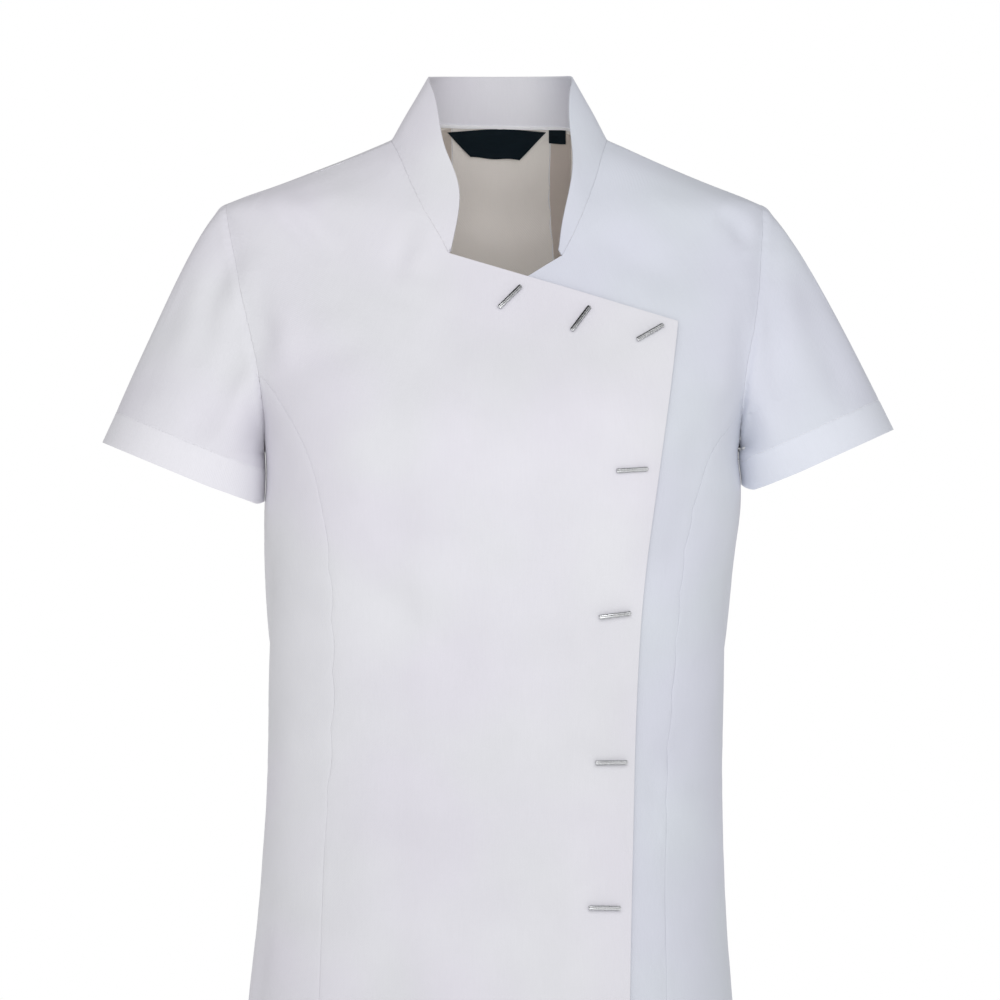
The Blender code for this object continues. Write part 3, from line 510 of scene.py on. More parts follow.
def smoothSkin(skin):
    # subdivision pulls a surface in, so the cage is pushed out until it passes the old points
    makeActive(skin)
    modifier = skin.modifiers.new("Smooth", "SUBSURF")
    modifier.levels = cloth["levels"]
    modifier.render_levels = cloth["levels"]
    modifier.boundary_smooth = "PRESERVE_CORNERS"
    wanted = places(skin.data)
    cage = wanted.copy()
    for i in range(cloth["fitRounds"]):
        setPlaces(skin.data, cage)
        shown = skin.evaluated_get(bpy.context.evaluated_depsgraph_get()).to_mesh()
        cage += wanted - places(shown)[:len(wanted)]
        skin.evaluated_get(bpy.context.evaluated_depsgraph_get()).to_mesh_clear()
    setPlaces(skin.data, cage)
    bpy.ops.object.modifier_apply(modifier=modifier.name)


# the seam between back and collar is pressed straight, as seen from the front, to a line with a
# faint tilt; the collar's top is levelled
neck = {"height": 14.6 * mm, "tilt": -0.022, "halfWidth": 66 * mm, "fade": 13 * mm,
        "reach": 26 * mm, "most": 8 * mm, "mostDown": 2 * mm, "top": 51.3 * mm}


def straightenNeck(skin):
    mesh = skin.data
    number = numberOf["collar"]
    inCollar = {v for p in mesh.polygons if p.material_index == number for v in p.vertices}
    inBody = {v for p in mesh.polygons if p.material_index != number for v in p.vertices}
    seam = [i for i in inCollar & inBody if mesh.vertices[i].co.y > 0]
    lifts = []
    for i in seam:
        co = mesh.vertices[i].co
        share = 1 - smoothStep(abs(co.x), neck["halfWidth"] - neck["fade"], neck["halfWidth"])
        wanted = neck["height"] + neck["tilt"] * co.x - co.z
        lifts.append((co.copy(), max(min(wanted, neck["most"]), -neck["mostDown"]) * share))
    tree = treeOf([co for co, lift in lifts])
    moved = []
    for i, v in enumerate(mesh.vertices):
        place, k, distance = tree.find(v.co)
        lift = lifts[k][1]
        if i in inCollar:
            share = 1 - smoothStep(v.co.z - place.z, 0, neck["reach"])
        elif i in inBody:
            share = 1 - smoothStep(distance, 0, neck["reach"])
        moved.append(v.co + Vector((0, 0, lift * share)))
        moved[-1].z = min(moved[-1].z, neck["top"])
    for v, co in zip(mesh.vertices, moved):
        v.co = co


skin = joinSkins()
straightenNeck(skin)
print("skins joined:", len(skin.data.vertices), "points,", len(skin.data.polygons), "faces")
smoothSkin(skin)
print("smoothed:", len(skin.data.polygons), "faces")


# hems: both sides of the stitch line get a row of points, so that the line can be pressed in

hem = {
    "bodyDepth": 28 * mm,
    "sleeveDepth": 25 * mm,
    "lineHalf": 1.3 * mm,       # rows on both sides of the stitch line
    "rowsNear": 15 * mm,        # faces this near the line are cut by the rows
    "rowsMerge": 0.2 * mm,
    "press": 0.30 * mm,
    "pressWide": 0.7,           # of lineHalf
    "ripple": 0.6, "rippleX": 3.1 * mm, "rippleY": 2.3 * mm,
    "mouthHigh": 70 * mm,       # a sleeve's mouth is the part of its rim this near its lowest point
    "mouthWide": 140 * mm,
    "turnedUp": 0.55 * mm,      # wall of the turned-up layer
    "bodyRows": (1 * mm, 10 * mm, 19 * mm, 28 * mm),
    "sleeveRows": (1 * mm, 9 * mm, 17 * mm, 25 * mm),
    "lowest": 4 * mm,           # points this near the bottom are the body's hem
    "fewest": 8,                # a run with no more points than this is a scrap
}
bottom = cadBox[0][2]


def facesOf(bm, names):
    numbers = {numberOf[name] for name in names}
    return [face for face in bm.faces if face.material_index in numbers]


def mouthPlane(bm, name):
    # the plane of a sleeve's mouth: a point on it and its normal, up into the sleeve
    rim = [v.co for face in facesOf(bm, [name]) for v in face.verts if v.is_boundary]
    low = min(rim, key=lambda co: co.z)
    rim = [co for co in rim
           if co.z < low.z + hem["mouthHigh"] and (co - low).length < hem["mouthWide"]]
    outer = max(rim, key=lambda co: abs(co.x))
    inner = min(rim, key=lambda co: abs(co.x))
    normal = (outer - inner).cross(Vector((0, 1, 0))).normalized()
    if normal.z < 0:
        normal.negate()
    return inner.copy(), normal


def hemLines(planes):
    # names, a point and a normal, and how far from there the stitch line is
    lines = [(bodyNames, up * bottom, up, hem["bodyDepth"])]
    return lines + [([name], *plane, hem["sleeveDepth"]) for name, plane in planes.items()]


def addHemRows():
    bm = loadMesh(skin.data)
    planes = {name: mouthPlane(bm, name) for name in ("sleeve_right", "sleeve_left")}
    for names, point, normal, depth in hemLines(planes):
        for shift in (-hem["lineHalf"], 0, hem["lineHalf"]):
            faces = facesOf(bm, names)
            near = [f for f in faces
                    if abs((f.calc_center_median() - point).dot(normal) - depth) < hem["rowsNear"]]
            edges = {edge for face in near for edge in face.edges}
            verts = {vert for face in near for vert in face.verts}
            bmesh.ops.bisect_plane(bm, geom=list(verts) + list(edges) + near,
                                   dist=hem["rowsMerge"], plane_no=normal,
                                   plane_co=point + normal * (depth + shift))
    storeMesh(bm, skin.data)
    return planes


mouths = addHemRows()


# creases, in millimetres as seen in each view: front and back are x and z, sides are y and z.
# Each row is a width, a depth and points; it is a soft trough with a ridge along its left side.
folds = {
    "front": [
        # wearer's right
        (7, 0.9, [(-181, -40), (-160, -56), (-128, -88)]),
        (10, 0.7, [(-140, -27), (-112, -20), (-84, -12)]),
        (9, 0.8, [(-183, -95), (-176, -140), (-171, -190)]),
        (12, 0.7, [(-165, -180), (-140, -160), (-100, -150)]),
        (16, 0.9, [(-120, -330), (-70, -350), (-20, -395)]),
        (18, 0.8, [(-105, -420), (-50, -450), (10, -455)]),
        (20, 1.0, [(-90, -560), (-80, -640), (-76, -712)]),
        (22, 1.1, [(10, -540), (16, -630), (14, -712)]),
        (8, 0.5, [(-62, -52), (-75, -80), (-80, -120)]),
        # wearer's left
        (7, 0.8, [(160, -50), (176, -62), (184, -78)]),
        (9, 0.9, [(183, -100), (181, -150), (176, -196)]),
        (12, 0.6, [(70, -60), (95, -85), (140, -105)]),
        (11, 0.6, [(150, -200), (140, -260), (122, -330)]),
        (13, 0.7, [(140, -430), (120, -470), (104, -480)]),
        # sleeves, from the front
        (9, 1.1, [(-192, -70), (-214, -110), (-226, -165)]),
        (12, 1.2, [(-196, -150), (-214, -190), (-236, -225)]),
        (10, 0.8, [(-230, -90), (-252, -140), (-270, -190)]),
        (9, 1.1, [(192, -80), (200, -130), (206, -190)]),
        (12, 1.0, [(222, -85), (240, -140), (262, -200)]),
    ],
    "back": [
        (10, 0.9, [(-178, -70), (-158, -120), (-150, -180)]),
        (11, 1.0, [(176, -64), (160, -110), (146, -190)]),
        (16, 1.1, [(-130, -360), (-80, -395), (-20, -405)]),
        (14, 0.9, [(130, -385), (85, -420), (30, -428)]),
        (15, 0.8, [(-60, -440), (0, -462), (66, -450)]),
        (22, 1.2, [(-110, -540), (-122, -630), (-126, -712)]),
        (20, 1.0, [(30, -560), (38, -640), (40, -712)]),
        (18, 0.9, [(118, -520), (130, -620), (134, -712)]),
        (12, 0.6, [(-40, -60), (0, -74), (44, -62)]),
        (9, 1.0, [(-194, -90), (-214, -140), (-232, -200)]),
        (10, 1.0, [(194, -84), (210, -140), (222, -205)]),
    ],
    "right": [
        (12, 1.0, [(-40, -300), (0, -370), (30, -400)]),
        (14, 1.1, [(-30, -500), (-36, -600), (-34, -712)]),
    ],
    "left": [
        (13, 1.0, [(-34, -310), (6, -385), (42, -420)]),
        (15, 1.1, [(28, -500), (34, -610), (38, -712)]),
    ],
}
foldForm = {
    "gain": 2.3,                # of the depths in the table
    "reach": 4,                 # how far from its points a fold is felt, in widths
    "ridge": 0.55, "ridgeAt": 1.9, "ridgeWide": 1.15,       # against the trough
    "blunt": 0.8,               # below 1 its ends are blunter
    "overHem": 705,             # a fold that ends below this runs out over the hem
    "uneven": 0.25, "unevenWave": 11,
    "edgeOn": 0.05, "turned": 0.35,         # it fades where the cloth turns away from the view
}
drape = {
    "longWave": 130 * mm, "longDepth": 0.9 * mm,
    "shortWave": 48 * mm, "shortDepth": 0.28 * mm,
    "tall": 2.2,                # waves are this much longer downwards than round the body
    "waveGain": 1.6,            # noise stays well within 1
    "puckerWave": 6 * mm, "puckerReach": 4 * mm,
    "drift": 2.6, "driftWave": 18 * mm,         # puckers aren't evenly spaced or deep
    "unevenLeast": 0.6, "unevenMore": 0.8, "unevenWave": 30 * mm,
    "shift": 1.7,               # each piece has its puckers elsewhere
    "groove": 0.8, "grooveWide": 1.7 * mm, "grooveEven": 0.7,       # a seam's groove
    "ridgeAt": 5 * mm, "ridgeWide": 4 * mm, "sleeveRidge": 0.75 * mm,
    "barCalm": 22 * mm,         # cloth lies flat this near a bar
}
pucker = {                      # how deep a seam pulls its cloth in, in millimetres
    ("front_overlap", "side_front_right"): 0.34,
    ("front_under", "side_front_left"): 0.34,
    ("back_centre", "side_back_right"): 0.26,
    ("back_centre", "side_back_left"): 0.26,
    ("side_back_right", "side_front_right"): 0.22,
    ("side_back_left", "side_front_left"): 0.22,
}
puckerElsewhere = 0.16
viewAxes = {"front": (0, 1, -1), "back": (0, 1, 1), "right": (1, 0, -1), "left": (1, 0, 1)}


def smoothPath(points, steps=24):
    # a smooth curve through the points
    points = [points[0], *points, points[-1]]
    path = []
    for k in range(len(points) - 3):
        p = [np.array(point, float) for point in points[k:k + 4]]
        for i in range(steps):
            t = i / steps
            path.append(0.5 * (2 * p[1] + (p[2] - p[0]) * t
                               + (2 * p[0] - 5 * p[1] + 4 * p[2] - p[3]) * t ** 2
                               + (3 * p[1] - p[0] - 3 * p[2] + p[3]) * t ** 3))
    path.append(np.array(points[-2], float))
    return np.array(path)


def foldDepth(view, fold, co, normal, isSleeve):
    across, through, sign = viewAxes[view]
    wide, deep, points = fold
    path = smoothPath(points) * mm
    width = wide * mm
    flat = co[:, [across, 2]]
    reach = width * foldForm["reach"]
    near = np.all((flat > path.min(0) - reach) & (flat < path.max(0) + reach), axis=1)
    near &= normal[:, through] * sign > foldForm["edgeOn"]
    if view in ("right", "left"):
        near &= ~isSleeve
    found = np.nonzero(near)[0]
    if not len(found):
        return found, np.zeros(0)
    away = flat[found][:, None, :] - path[None, :, :]
    nearest = np.argmin((away ** 2).sum(2), axis=1)
    tangent = np.gradient(path, axis=0)
    tangent /= np.linalg.norm(tangent, axis=1)[:, None]
    offset = away[np.arange(len(found)), nearest]
    along = tangent[nearest]
    side = along[:, 0] * offset[:, 1] - along[:, 1] * offset[:, 0]
    distance = np.linalg.norm(offset, axis=1) * np.where(side < 0, -1, 1)
    share = nearest / (len(path) - 1)
    end = math.pi / 2 if abs(points[-1][1]) > foldForm["overHem"] else math.pi
    taper = np.clip(np.sin(end * share), 0, 1) ** foldForm["blunt"]
    uneven = 1 + foldForm["uneven"] * np.sin(share * foldForm["unevenWave"] + wide)
    trough = -np.exp(-(distance / width) ** 2)
    beside = distance - foldForm["ridgeAt"] * width
    ridge = foldForm["ridge"] * np.exp(-(beside / (foldForm["ridgeWide"] * width)) ** 2)
    turned = (normal[found, through] * sign - foldForm["edgeOn"]) / foldForm["turned"]
    depth = deep * mm * foldForm["gain"]
    return found, depth * (trough + ridge) * taper * uneven * np.clip(turned, 0, 1)


def orderedRuns(pairs):
    # rows of points, in order, from pairs of neighbours
    near = {}
    for a, b in pairs:
        near.setdefault(a, []).append(b)
        near.setdefault(b, []).append(a)
    used = set()
    runs = []
    for start in sorted(near, key=lambda v: (len(near[v]) != 1, v)):
        if start in used:
            continue
        run = [start]
        used.add(start)
        while True:
            onward = [v for v in near[run[-1]] if v not in used]
            if not onward:
                break
            run.append(min(onward))
            used.add(run[-1])
        if len(run) > 2 and run[0] in near[run[-1]]:
            run.append(run[0])
        runs.append(run)
    return sorted(runs, key=len, reverse=True)


def surveySkin():
    # the runs of points along each seam and along each piece's free edges
    bm = loadMesh(skin.data)
    seams = {}
    rims = {}
    armholes = {}
    for line in bm.edges:
        names = sorted({clothNodes[face.material_index] for face in line.link_faces})
        pair = (line.verts[0].index, line.verts[1].index)
        if len(names) == 2:
            seams.setdefault(tuple(names), []).append(pair)
            if names[1].startswith("sleeve"):
                armholes.setdefault(names[1], []).append(pair)
        elif line.is_boundary:
            rims.setdefault(names[0], []).append(pair)
    sleeves = set()
    for face in facesOf(bm, ["sleeve_right", "sleeve_left"]):
        sleeves.update(v.index for v in face.verts)
    bm.free()
    seams = {names: orderedRuns(pairs) for names, pairs in seams.items()}
    rims = {name: orderedRuns(pairs) for name, pairs in rims.items()}
    # the two sides of a shoulder seam have their own points, and the highest free run is its side
    for names in (("front_overlap", "side_back_right"), ("front_under", "side_back_left")):
        seams[names] = []
        for name in names:
            runs = [run for run in rims[name] if len(run) > hem["fewest"]]
            shoulder = max(runs, key=lambda run: sum(skin.data.vertices[i].co.z for i in run) / len(run))
            rims[name].remove(shoulder)
            seams[names].append(shoulder)
    armholes = {name: orderedRuns(pairs)[0] for name, pairs in armholes.items()}
    return seams, rims, armholes, sleeves


seamRuns, rimRuns, armholeRuns, sleevePoints = surveySkin()
print("seams:", len(seamRuns))


def seamPlaces(co):
    # for every point on a seam: its number, its length along the seam and how deep it is pulled in
    found = []
    for names, runs in seamRuns.items():
        depth = pucker.get(names, puckerElsewhere)
        armhole = any(name.startswith("sleeve") for name in names)
        for run in runs:
            found += [(i, length, depth, armhole) for i, length in zip(run, lengthsAlong(co[run]))]
    return found


def drapeSkin():
    mesh = skin.data
    co = places(mesh)
    normal = np.empty(len(mesh.vertices) * 3)
    mesh.vertices.foreach_get("normal", normal)
    normal = normal.reshape(-1, 3)
    isSleeve = np.zeros(len(co), bool)
    isSleeve[list(sleevePoints)] = True
    owner = np.zeros(len(co), int)
    for polygon in mesh.polygons:
        owner[list(polygon.vertices)] = polygon.material_index
    move = np.zeros(len(co))
    for view, rows in folds.items():
        for fold in rows:
            found, depth = foldDepth(view, fold, co, normal, isSleeve)
            move[found] += depth
    seams = seamPlaces(co)
    tree = treeOf([co[seam[0]] for seam in seams])
    bars = [sum(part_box(name), Vector()) / 2 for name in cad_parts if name.startswith("rod")]
    for i in range(len(co)):
        point = Vector(co[i])
        tall = Vector((point.x, point.y, point.z / drape["tall"]))
        wave = noise.noise(tall / drape["longWave"]) * drape["longDepth"]
        wave += noise.noise(tall / drape["shortWave"] + Vector((7, 3, 5))) * drape["shortDepth"]
        total = move[i] + wave * drape["waveGain"]
        calm = min((point - bar).length for bar in bars) / drape["barCalm"]
        if calm < 1:
            total *= calm * calm
        place, j, distance = tree.find(point)
        if distance < 3 * drape["puckerReach"]:
            number, length, depth, armhole = seams[j]
            drift = noise.noise(Vector((length / drape["driftWave"], owner[i], 0.5)))
            uneven = noise.noise(Vector((length / drape["unevenWave"], 4, owner[i])))
            uneven = drape["unevenLeast"] + drape["unevenMore"] * uneven
            pull = math.sin(2 * math.pi * length / drape["puckerWave"] + drape["drift"] * drift
                            + drape["shift"] * owner[i])
            fade = math.exp(-(distance / drape["puckerReach"]) ** 2)
            total += pull * uneven * depth * mm * fade
            if depth > puckerElsewhere:
                near = math.exp(-(distance / drape["grooveWide"]) ** 2)
                even = drape["grooveEven"]
                total -= drape["groove"] * depth * mm * near * (even + (1 - even) * pull)
            if armhole and isSleeve[i]:
                away = (distance - drape["ridgeAt"]) / drape["ridgeWide"]
                total += drape["sleeveRidge"] * math.exp(-away * away)
        move[i] = total
    for names, point, plane, depth in hemLines(mouths):
        chosen = isSleeve & (co[:, 0] * point.x > 0) if names[0] in mouths else ~isSleeve
        away = (co - np.array(point)) @ np.array(plane) - depth
        press = np.exp(-(away / (hem["pressWide"] * hem["lineHalf"])) ** 2) * chosen
        ripple = 1 + hem["ripple"] * np.sin(co[:, 0] / hem["rippleX"] + co[:, 1] / hem["rippleY"])
        move -= press * hem["press"] * ripple
    setPlaces(mesh, co + normal * move[:, None])
    print("draped: deepest %.2f mm, highest %.2f mm" % (move.min() / mm, move.max() / mm))


drapeSkin()


# the cloth's own coordinates: metres round the body or sleeve, and down it
unroll = {
    "halfWidth": 0.175, "depth": 0.11, "squareness": 2.5, "angles": 721,    # a level section
    "sleeveRadius": 0.062, "neckRadius": 0.06,
    "sleeveMiddle": (0.058, -0.004), "sleeveSlant": 0.45,       # from the inner side of its mouth
}


def unrollTable():
    # length round a level section of the body, by the angle from the front
    angles = np.linspace(0, 2 * math.pi, unroll["angles"])
    power = 2 / unroll["squareness"]
    x = np.sign(np.sin(angles)) * np.abs(np.sin(angles)) ** power * unroll["halfWidth"]
    y = -np.sign(np.cos(angles)) * np.abs(np.cos(angles)) ** power * unroll["depth"]
    plan = np.unwrap(np.arctan2(x, -y))
    return plan, lengthsAlong(np.column_stack([x, y]))


def turnsOf(name, co, bodyTurn, index):
    # the angles of some points round the body, the neck or a sleeve
    if name.startswith("sleeve"):
        point, normal = mouths[name]
        aside, y = unroll["sleeveMiddle"]
        middle = Vector((point.x + math.copysign(aside, point.x), y, point.z))
        x = np.abs(co[index, 0]) - abs(middle.x) + unroll["sleeveSlant"] * (co[index, 2] - middle.z)
        angles = np.arctan2(co[index, 1] - middle.y, x)
    else:
        angles = bodyTurn[index]
        if "back" in name:
            angles = angles % (2 * math.pi)
    angles[angles - angles[0] > math.pi] -= 2 * math.pi
    angles[angles - angles[0] < -math.pi] += 2 * math.pi
    return angles


def writeUv():
    mesh = skin.data
    co = places(mesh)
    plan, length = unrollTable()
    bodyTurn = np.arctan2(co[:, 0], -co[:, 1])
    layer = mesh.uv_layers.new(name="cloth")
    values = np.empty((len(mesh.loops), 2))
    for polygon in mesh.polygons:
        name = clothNodes[polygon.material_index]
        loops = list(polygon.loop_indices)
        index = [mesh.loops[k].vertex_index for k in loops]
        angles = turnsOf(name, co, bodyTurn, index)
        if name in bodyNames:
            turns = np.floor(angles / (2 * math.pi))
            around = np.interp(angles - turns * 2 * math.pi, plan, length) + turns * length[-1]
        else:
            around = angles * unroll["neckRadius" if name == "collar" else "sleeveRadius"]
        values[loops, 0] = around
        values[loops, 1] = -co[index, 2]
    layer.data.foreach_set("uv", values.reshape(-1))


writeUv()
print("cloth coordinates written")


# where the cloth is double it is whiter: hems, and faintly the facing along the overlap's edge
facing = {"width": 52 * mm, "edge": 6 * mm, "share": 0.1,
          "aboveHem": 5 * mm, "from": -60 * mm}         # where the edge that it follows begins
coolShadeFade = {"x": (10 * mm, 40 * mm), "y": (-10 * mm, 70 * mm)}      # the painted shade sets in and fades out here


def writeLayers():
    mesh = skin.data
    co = places(mesh)
    bm = loadMesh(mesh)
    tree = treeOf([v.co.copy() for v in bm.verts
                   if v.is_boundary and v.link_faces[0].material_index == numberOf["front_overlap"]
                   and v.co.z > bottom + facing["aboveHem"] and v.co.x > facing["from"]])
    owner = {}
    for v in bm.verts:
        owner[v.index] = {clothNodes[f.material_index] for f in v.link_faces}
    bm.free()
    layers = np.zeros(len(co))
    for i in range(len(co)):
        names = owner[i]
        if "front_overlap" in names:
            place, j, distance = tree.find(co[i])
            faded = smoothStep(distance, facing["width"] - facing["edge"], facing["width"])
            layers[i] = facing["share"] * (1 - faded)
        if not names & {"sleeve_right", "sleeve_left", "collar"}:
            faded = smoothStep(co[i, 2] - bottom, hem["bodyDepth"] - mm, hem["bodyDepth"] + mm)
            layers[i] = max(layers[i], 1 - faded)
    for name, (point, plane) in mouths.items():
        height = (co - np.array(point)) @ np.array(plane)
        band = 1 - np.clip((height - hem["sleeveDepth"] + mm) / (2 * mm), 0, 1)
        chosen = [i for i in range(len(co)) if name in owner[i]]
        layers[chosen] = np.maximum(layers[chosen], band[chosen])
    # painted shade: the wearer's left front is a little darker and bluer, a cast of cooler light, and
    # this fades towards the back
    coolShade = np.zeros(len(co))
    for i, (x, y, z) in enumerate(co):
        if "front_overlap" not in owner[i]:
            left = smoothStep(x, *coolShadeFade["x"]) if "collar" in owner[i] else float(x > 0)
            if "front_under" in owner[i]:
                left = 1
            coolShade[i] = left * (1 - smoothStep(y, *coolShadeFade["y"]))
    for name, values in (("layers", layers), ("coolShade", coolShade)):
        attribute = mesh.attributes.new(name, "FLOAT", "POINT")
        attribute.data.foreach_set("value", values.astype(np.float32))


writeLayers()


# under the arm the sleeve lies against the side of the body, and its mouth turns up towards it
armpit = {
    "sleeve_right": {"rise": 9 * mm, "turn": 12 * mm, "wider": 0},
    "sleeve_left": {"rise": 15 * mm, "turn": 16 * mm, "wider": 3.7 * mm},
    "high": 42 * mm, "curl": 1.3,               # the turned corner fades out this far up
    "reach": 45 * mm, "clear": 0.5 * mm, "most": 4.2 * mm, "extra": 1.6 * mm, "step": 2.5 * mm,
    "above": 8 * mm, "start": 12 * mm,          # it sets in softly from above the armhole's end
    "widest": 27 * mm, "low": 98 * mm,          # of the body's widening, below the armhole
    "sideFrom": 120 * mm, "sideTo": 165 * mm,
}


def armpitGap(co, points, tree, side, low):
    # how far the sleeve is from the body at each height, and where its inner side is
    found = {round(low / armpit["step"]): (0, np.inf)}
    for i in points:
        if co[i][2] < low:
            level = round(co[i][2] / armpit["step"])
            hit = tree.ray_cast(Vector(co[i]), Vector((-side, 0, 0)))
            gap, inner = found.get(level, (np.inf, np.inf))
            if hit[0] is not None:
                gap = min(gap, hit[3])
            found[level] = (gap, min(inner, co[i][0] * side))
    levels = sorted(level for level in found if found[level][0] < np.inf)
    gaps = np.array([found[level][0] for level in levels])
    inners = np.array([min(found[level][1], found[levels[max(k - 1, 0)]][1])
                       for k, level in enumerate(levels)])
    gaps = np.clip(gaps - armpit["clear"], 0, armpit["most"])
    return np.array(levels) * armpit["step"], gaps, inners


def widenBody(co, inSleeve, side, low, wider):
    for i in range(len(co)):
        if i not in inSleeve and co[i][0] * side > 0 and co[i][2] < low:
            below = low - co[i][2]
            share = smoothStep(co[i][0] * side, armpit["sideFrom"], armpit["sideTo"])
            share *= smoothStep(below, 0, armpit["widest"])
            share *= 1 - smoothStep(below, armpit["widest"], armpit["low"])
            co[i][0] += side * wider * share


def turnCorner(co, points, mouth, side, low, rise, turn):
    point, plane = mouth
    innermost = min(co[i][0] * side for i in points if co[i][2] < low)
    for i in points:
        turned = 1 - (co[i][0] * side - innermost) / turn
        near = 1 - (Vector(co[i]) - point).dot(plane) / armpit["high"]
        if turned > 0 and near > 0:
            co[i][2] += rise * min(turned, 1) ** armpit["curl"] * min(near, 1)


def closeGap(co, points, tree, side, low):
    levels, gaps, inners = armpitGap(co, points, tree, side, low)
    for i in points:
        start = smoothStep(low + armpit["above"] - co[i][2], 0, armpit["start"])
        if start > 0:
            inner = np.interp(co[i][2], levels, inners)
            share = start * (1 - smoothStep(co[i][0] * side - inner, 0, armpit["reach"]))
            hit = tree.ray_cast(Vector(co[i]), Vector((-side, 0, 0)))
            free = np.inf if hit[0] is None else hit[3] - armpit["clear"]
            wanted = np.interp(co[i][2], levels, gaps) + armpit["extra"]
            co[i][0] -= side * share * max(min(free, wanted), 0)
    return gaps.max()


def closeArmpits():
    mesh = skin.data
    co = places(mesh)
    sleeveNumbers = {numberOf[name] for name in mouths}
    for name, mouth in mouths.items():
        side = math.copysign(1, mouth[0].x)
        values = armpit[name]
        seam = set(armholeRuns[name])
        low = co[armholeRuns[name]][:, 2].min()
        inSleeve = {v for p in mesh.polygons if p.material_index == numberOf[name] for v in p.vertices}
        points = sorted(inSleeve - seam)
        widenBody(co, inSleeve | seam, side, low, values["wider"])
        turnCorner(co, points, mouth, side, low, values["rise"], values["turn"])
        body = [tuple(p.vertices) for p in mesh.polygons if p.material_index not in sleeveNumbers]
        tree = BVHTree.FromPolygons([Vector(place) for place in co], body)
        moved = closeGap(co, points, tree, side, low)
        print("%s moved %.1f mm towards the body" % (name, moved / mm))
    setPlaces(mesh, co)


def hemHeights(points, mouth):
    # a sleeve's hem is narrower where its corner is turned up
    point, plane = mouth
    lost = hem["sleeveDepth"] / armpit["high"]
    return [hem["sleeveDepth"] - lost * max((co - point).dot(plane), 0) for co in points]


closeArmpits()


# one shell for each piece of cloth; its border is pressed in along seams and rolled at free edges
border = {
    "split": 0.3,               # share of the outermost row that becomes a strip of its own
    "dip": {"collar": 0.04 * mm, "sleeve": 0.03 * mm, "front": 0.08 * mm, "back": 0.10 * mm},
    "round": 0.09 * mm, "roundAngle": 55.0,
}


def cutPiece(name):
    number = numberOf[name]
    bm = loadMesh(skin.data)
    bm.normal_update()
    dip = bm.verts.layers.float.new("dip")
    dips = {}
    for names, runs in seamRuns.items():
        kind = next(kind for kind in border["dip"] if any(kind in other for other in names))
        for run in runs:
            for i in run:
                dips[i] = min(dips.get(i, 1), border["dip"][kind])
    for v in bm.verts:
        v[dip] = dips.get(v.index, 0)
    bmesh.ops.delete(bm, geom=[f for f in bm.faces if f.material_index != number], context="FACES")
    shares = {}
    for line in bm.edges:
        ends = [v.is_boundary for v in line.verts]
        if ends[0] != ends[1]:
            shares[line] = border["split"] if ends[0] else 1 - border["split"]
    bmesh.ops.subdivide_edges(bm, edges=list(shares), cuts=1, edge_percents=shares,
                              use_grid_fill=True)
    bm.normal_update()
    moves = {}
    for v in bm.verts:
        if v.is_boundary and v[dip] > 0:
            inwards = Vector()
            for face in v.link_faces:
                inwards += face.calc_center_median() - v.co
            if inwards.length > 0:
                moves[v] = inwards.normalized() * cloth["seamGap"] - v.normal * v[dip]
    for v, move in moves.items():
        v.co += move
    for face in bm.faces:
        face.material_index = 0
        face.smooth = True
    bm.verts.layers.float.remove(dip)
    mesh = bpy.data.meshes.new(name + "_cloth")
    storeMesh(bm, mesh)
    return newObject(name + "_cloth", mesh)


def thicken(piece, thickness):
    applyModifier(piece, "SOLIDIFY", thickness=thickness, offset=-1.0,
                  material_offset=1, material_offset_rim=0)
    applyModifier(piece, "BEVEL", width=border["round"], segments=2, limit_method="ANGLE",
                  angle_limit=math.radians(border["roundAngle"]), use_clamp_overlap=False)
    smoothByAngle(piece, cloth["smoothAngle"])


# what shows of each piece, laid flat: width, length and area in metres, all round on a sleeve
shownCut = {
    "front_overlap": (0.37, 0.74, 0.174),
    "front_under": (0.24, 0.74, 0.121),
    "side_front_right": (0.135, 0.55, 0.0535),
    "side_front_left": (0.13, 0.53, 0.0487),
    "back_centre": (0.19, 0.745, 0.0976),
    "side_back_right": (0.22, 0.745, 0.117),
    "side_back_left": (0.21, 0.745, 0.1114),
    "sleeve_right": (0.37, 0.20, 0.0433),
    "sleeve_left": (0.36, 0.20, 0.0388),
    "collar": (0.39, 0.055, 0.0164),
}


for name in clothNodes:
    panel = cutPiece(name)
    # the inside faces get the lighter, warmer inside cloth, which is painted light; the collar's inside
    # stays plain white
    giveMaterials(panel, whiteTwill, whiteTwill if name == "collar" else paintedLightInsideTwill)
    thicken(panel, cloth["collarThickness"] if name == "collar" else cloth["thickness"])
    declare(panel)
    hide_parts(name)
    width, length, shownArea = shownCut[name]
    print("%s: %d faces" % (panel.name, len(panel.data.polygons)))


# what is sewn to the inside: seam allowances, turned-up hems and the tape round the neck

sewn = {
    "allowance": 16 * mm,       # both layers, pressed to one side of the seam
    "wall": 0.45 * mm,
    "clear": 0.15 * mm,
    "step": 5 * mm,
    "rows": (0.03, 0.35, 0.7, 1),               # of the allowance, from the seam
    "armholeRows": (0.06, 0.25, 0.5, 0.7),
    "armpit": 20 * mm,          # an armhole's strip ends this high above the lowest point
    "pressed": 3,               # rounds that even out a strip's line
    "touching": 0.1 * mm,       # the ends of a line that closes are nearer than this
    "smoothAngle": 40.0,
    "tapeUp": 0.5 * mm, "tapeDown": 1.7 * mm, "tapeWall": 0.6 * mm,
    "tapeTurn": 2.2, "tapeStep": 3 * mm,        # how far round from the back it goes, in radians
}


def pieceTree(names):
    # the skin of some pieces, for rays and nearest points
    numbers = {numberOf[name] for name in names}
    mesh = skin.data
    corners = [v.co.copy() for v in mesh.vertices]
    faces = [tuple(p.vertices) for p in mesh.polygons if p.material_index in numbers]
    return BVHTree.FromPolygons(corners, faces)


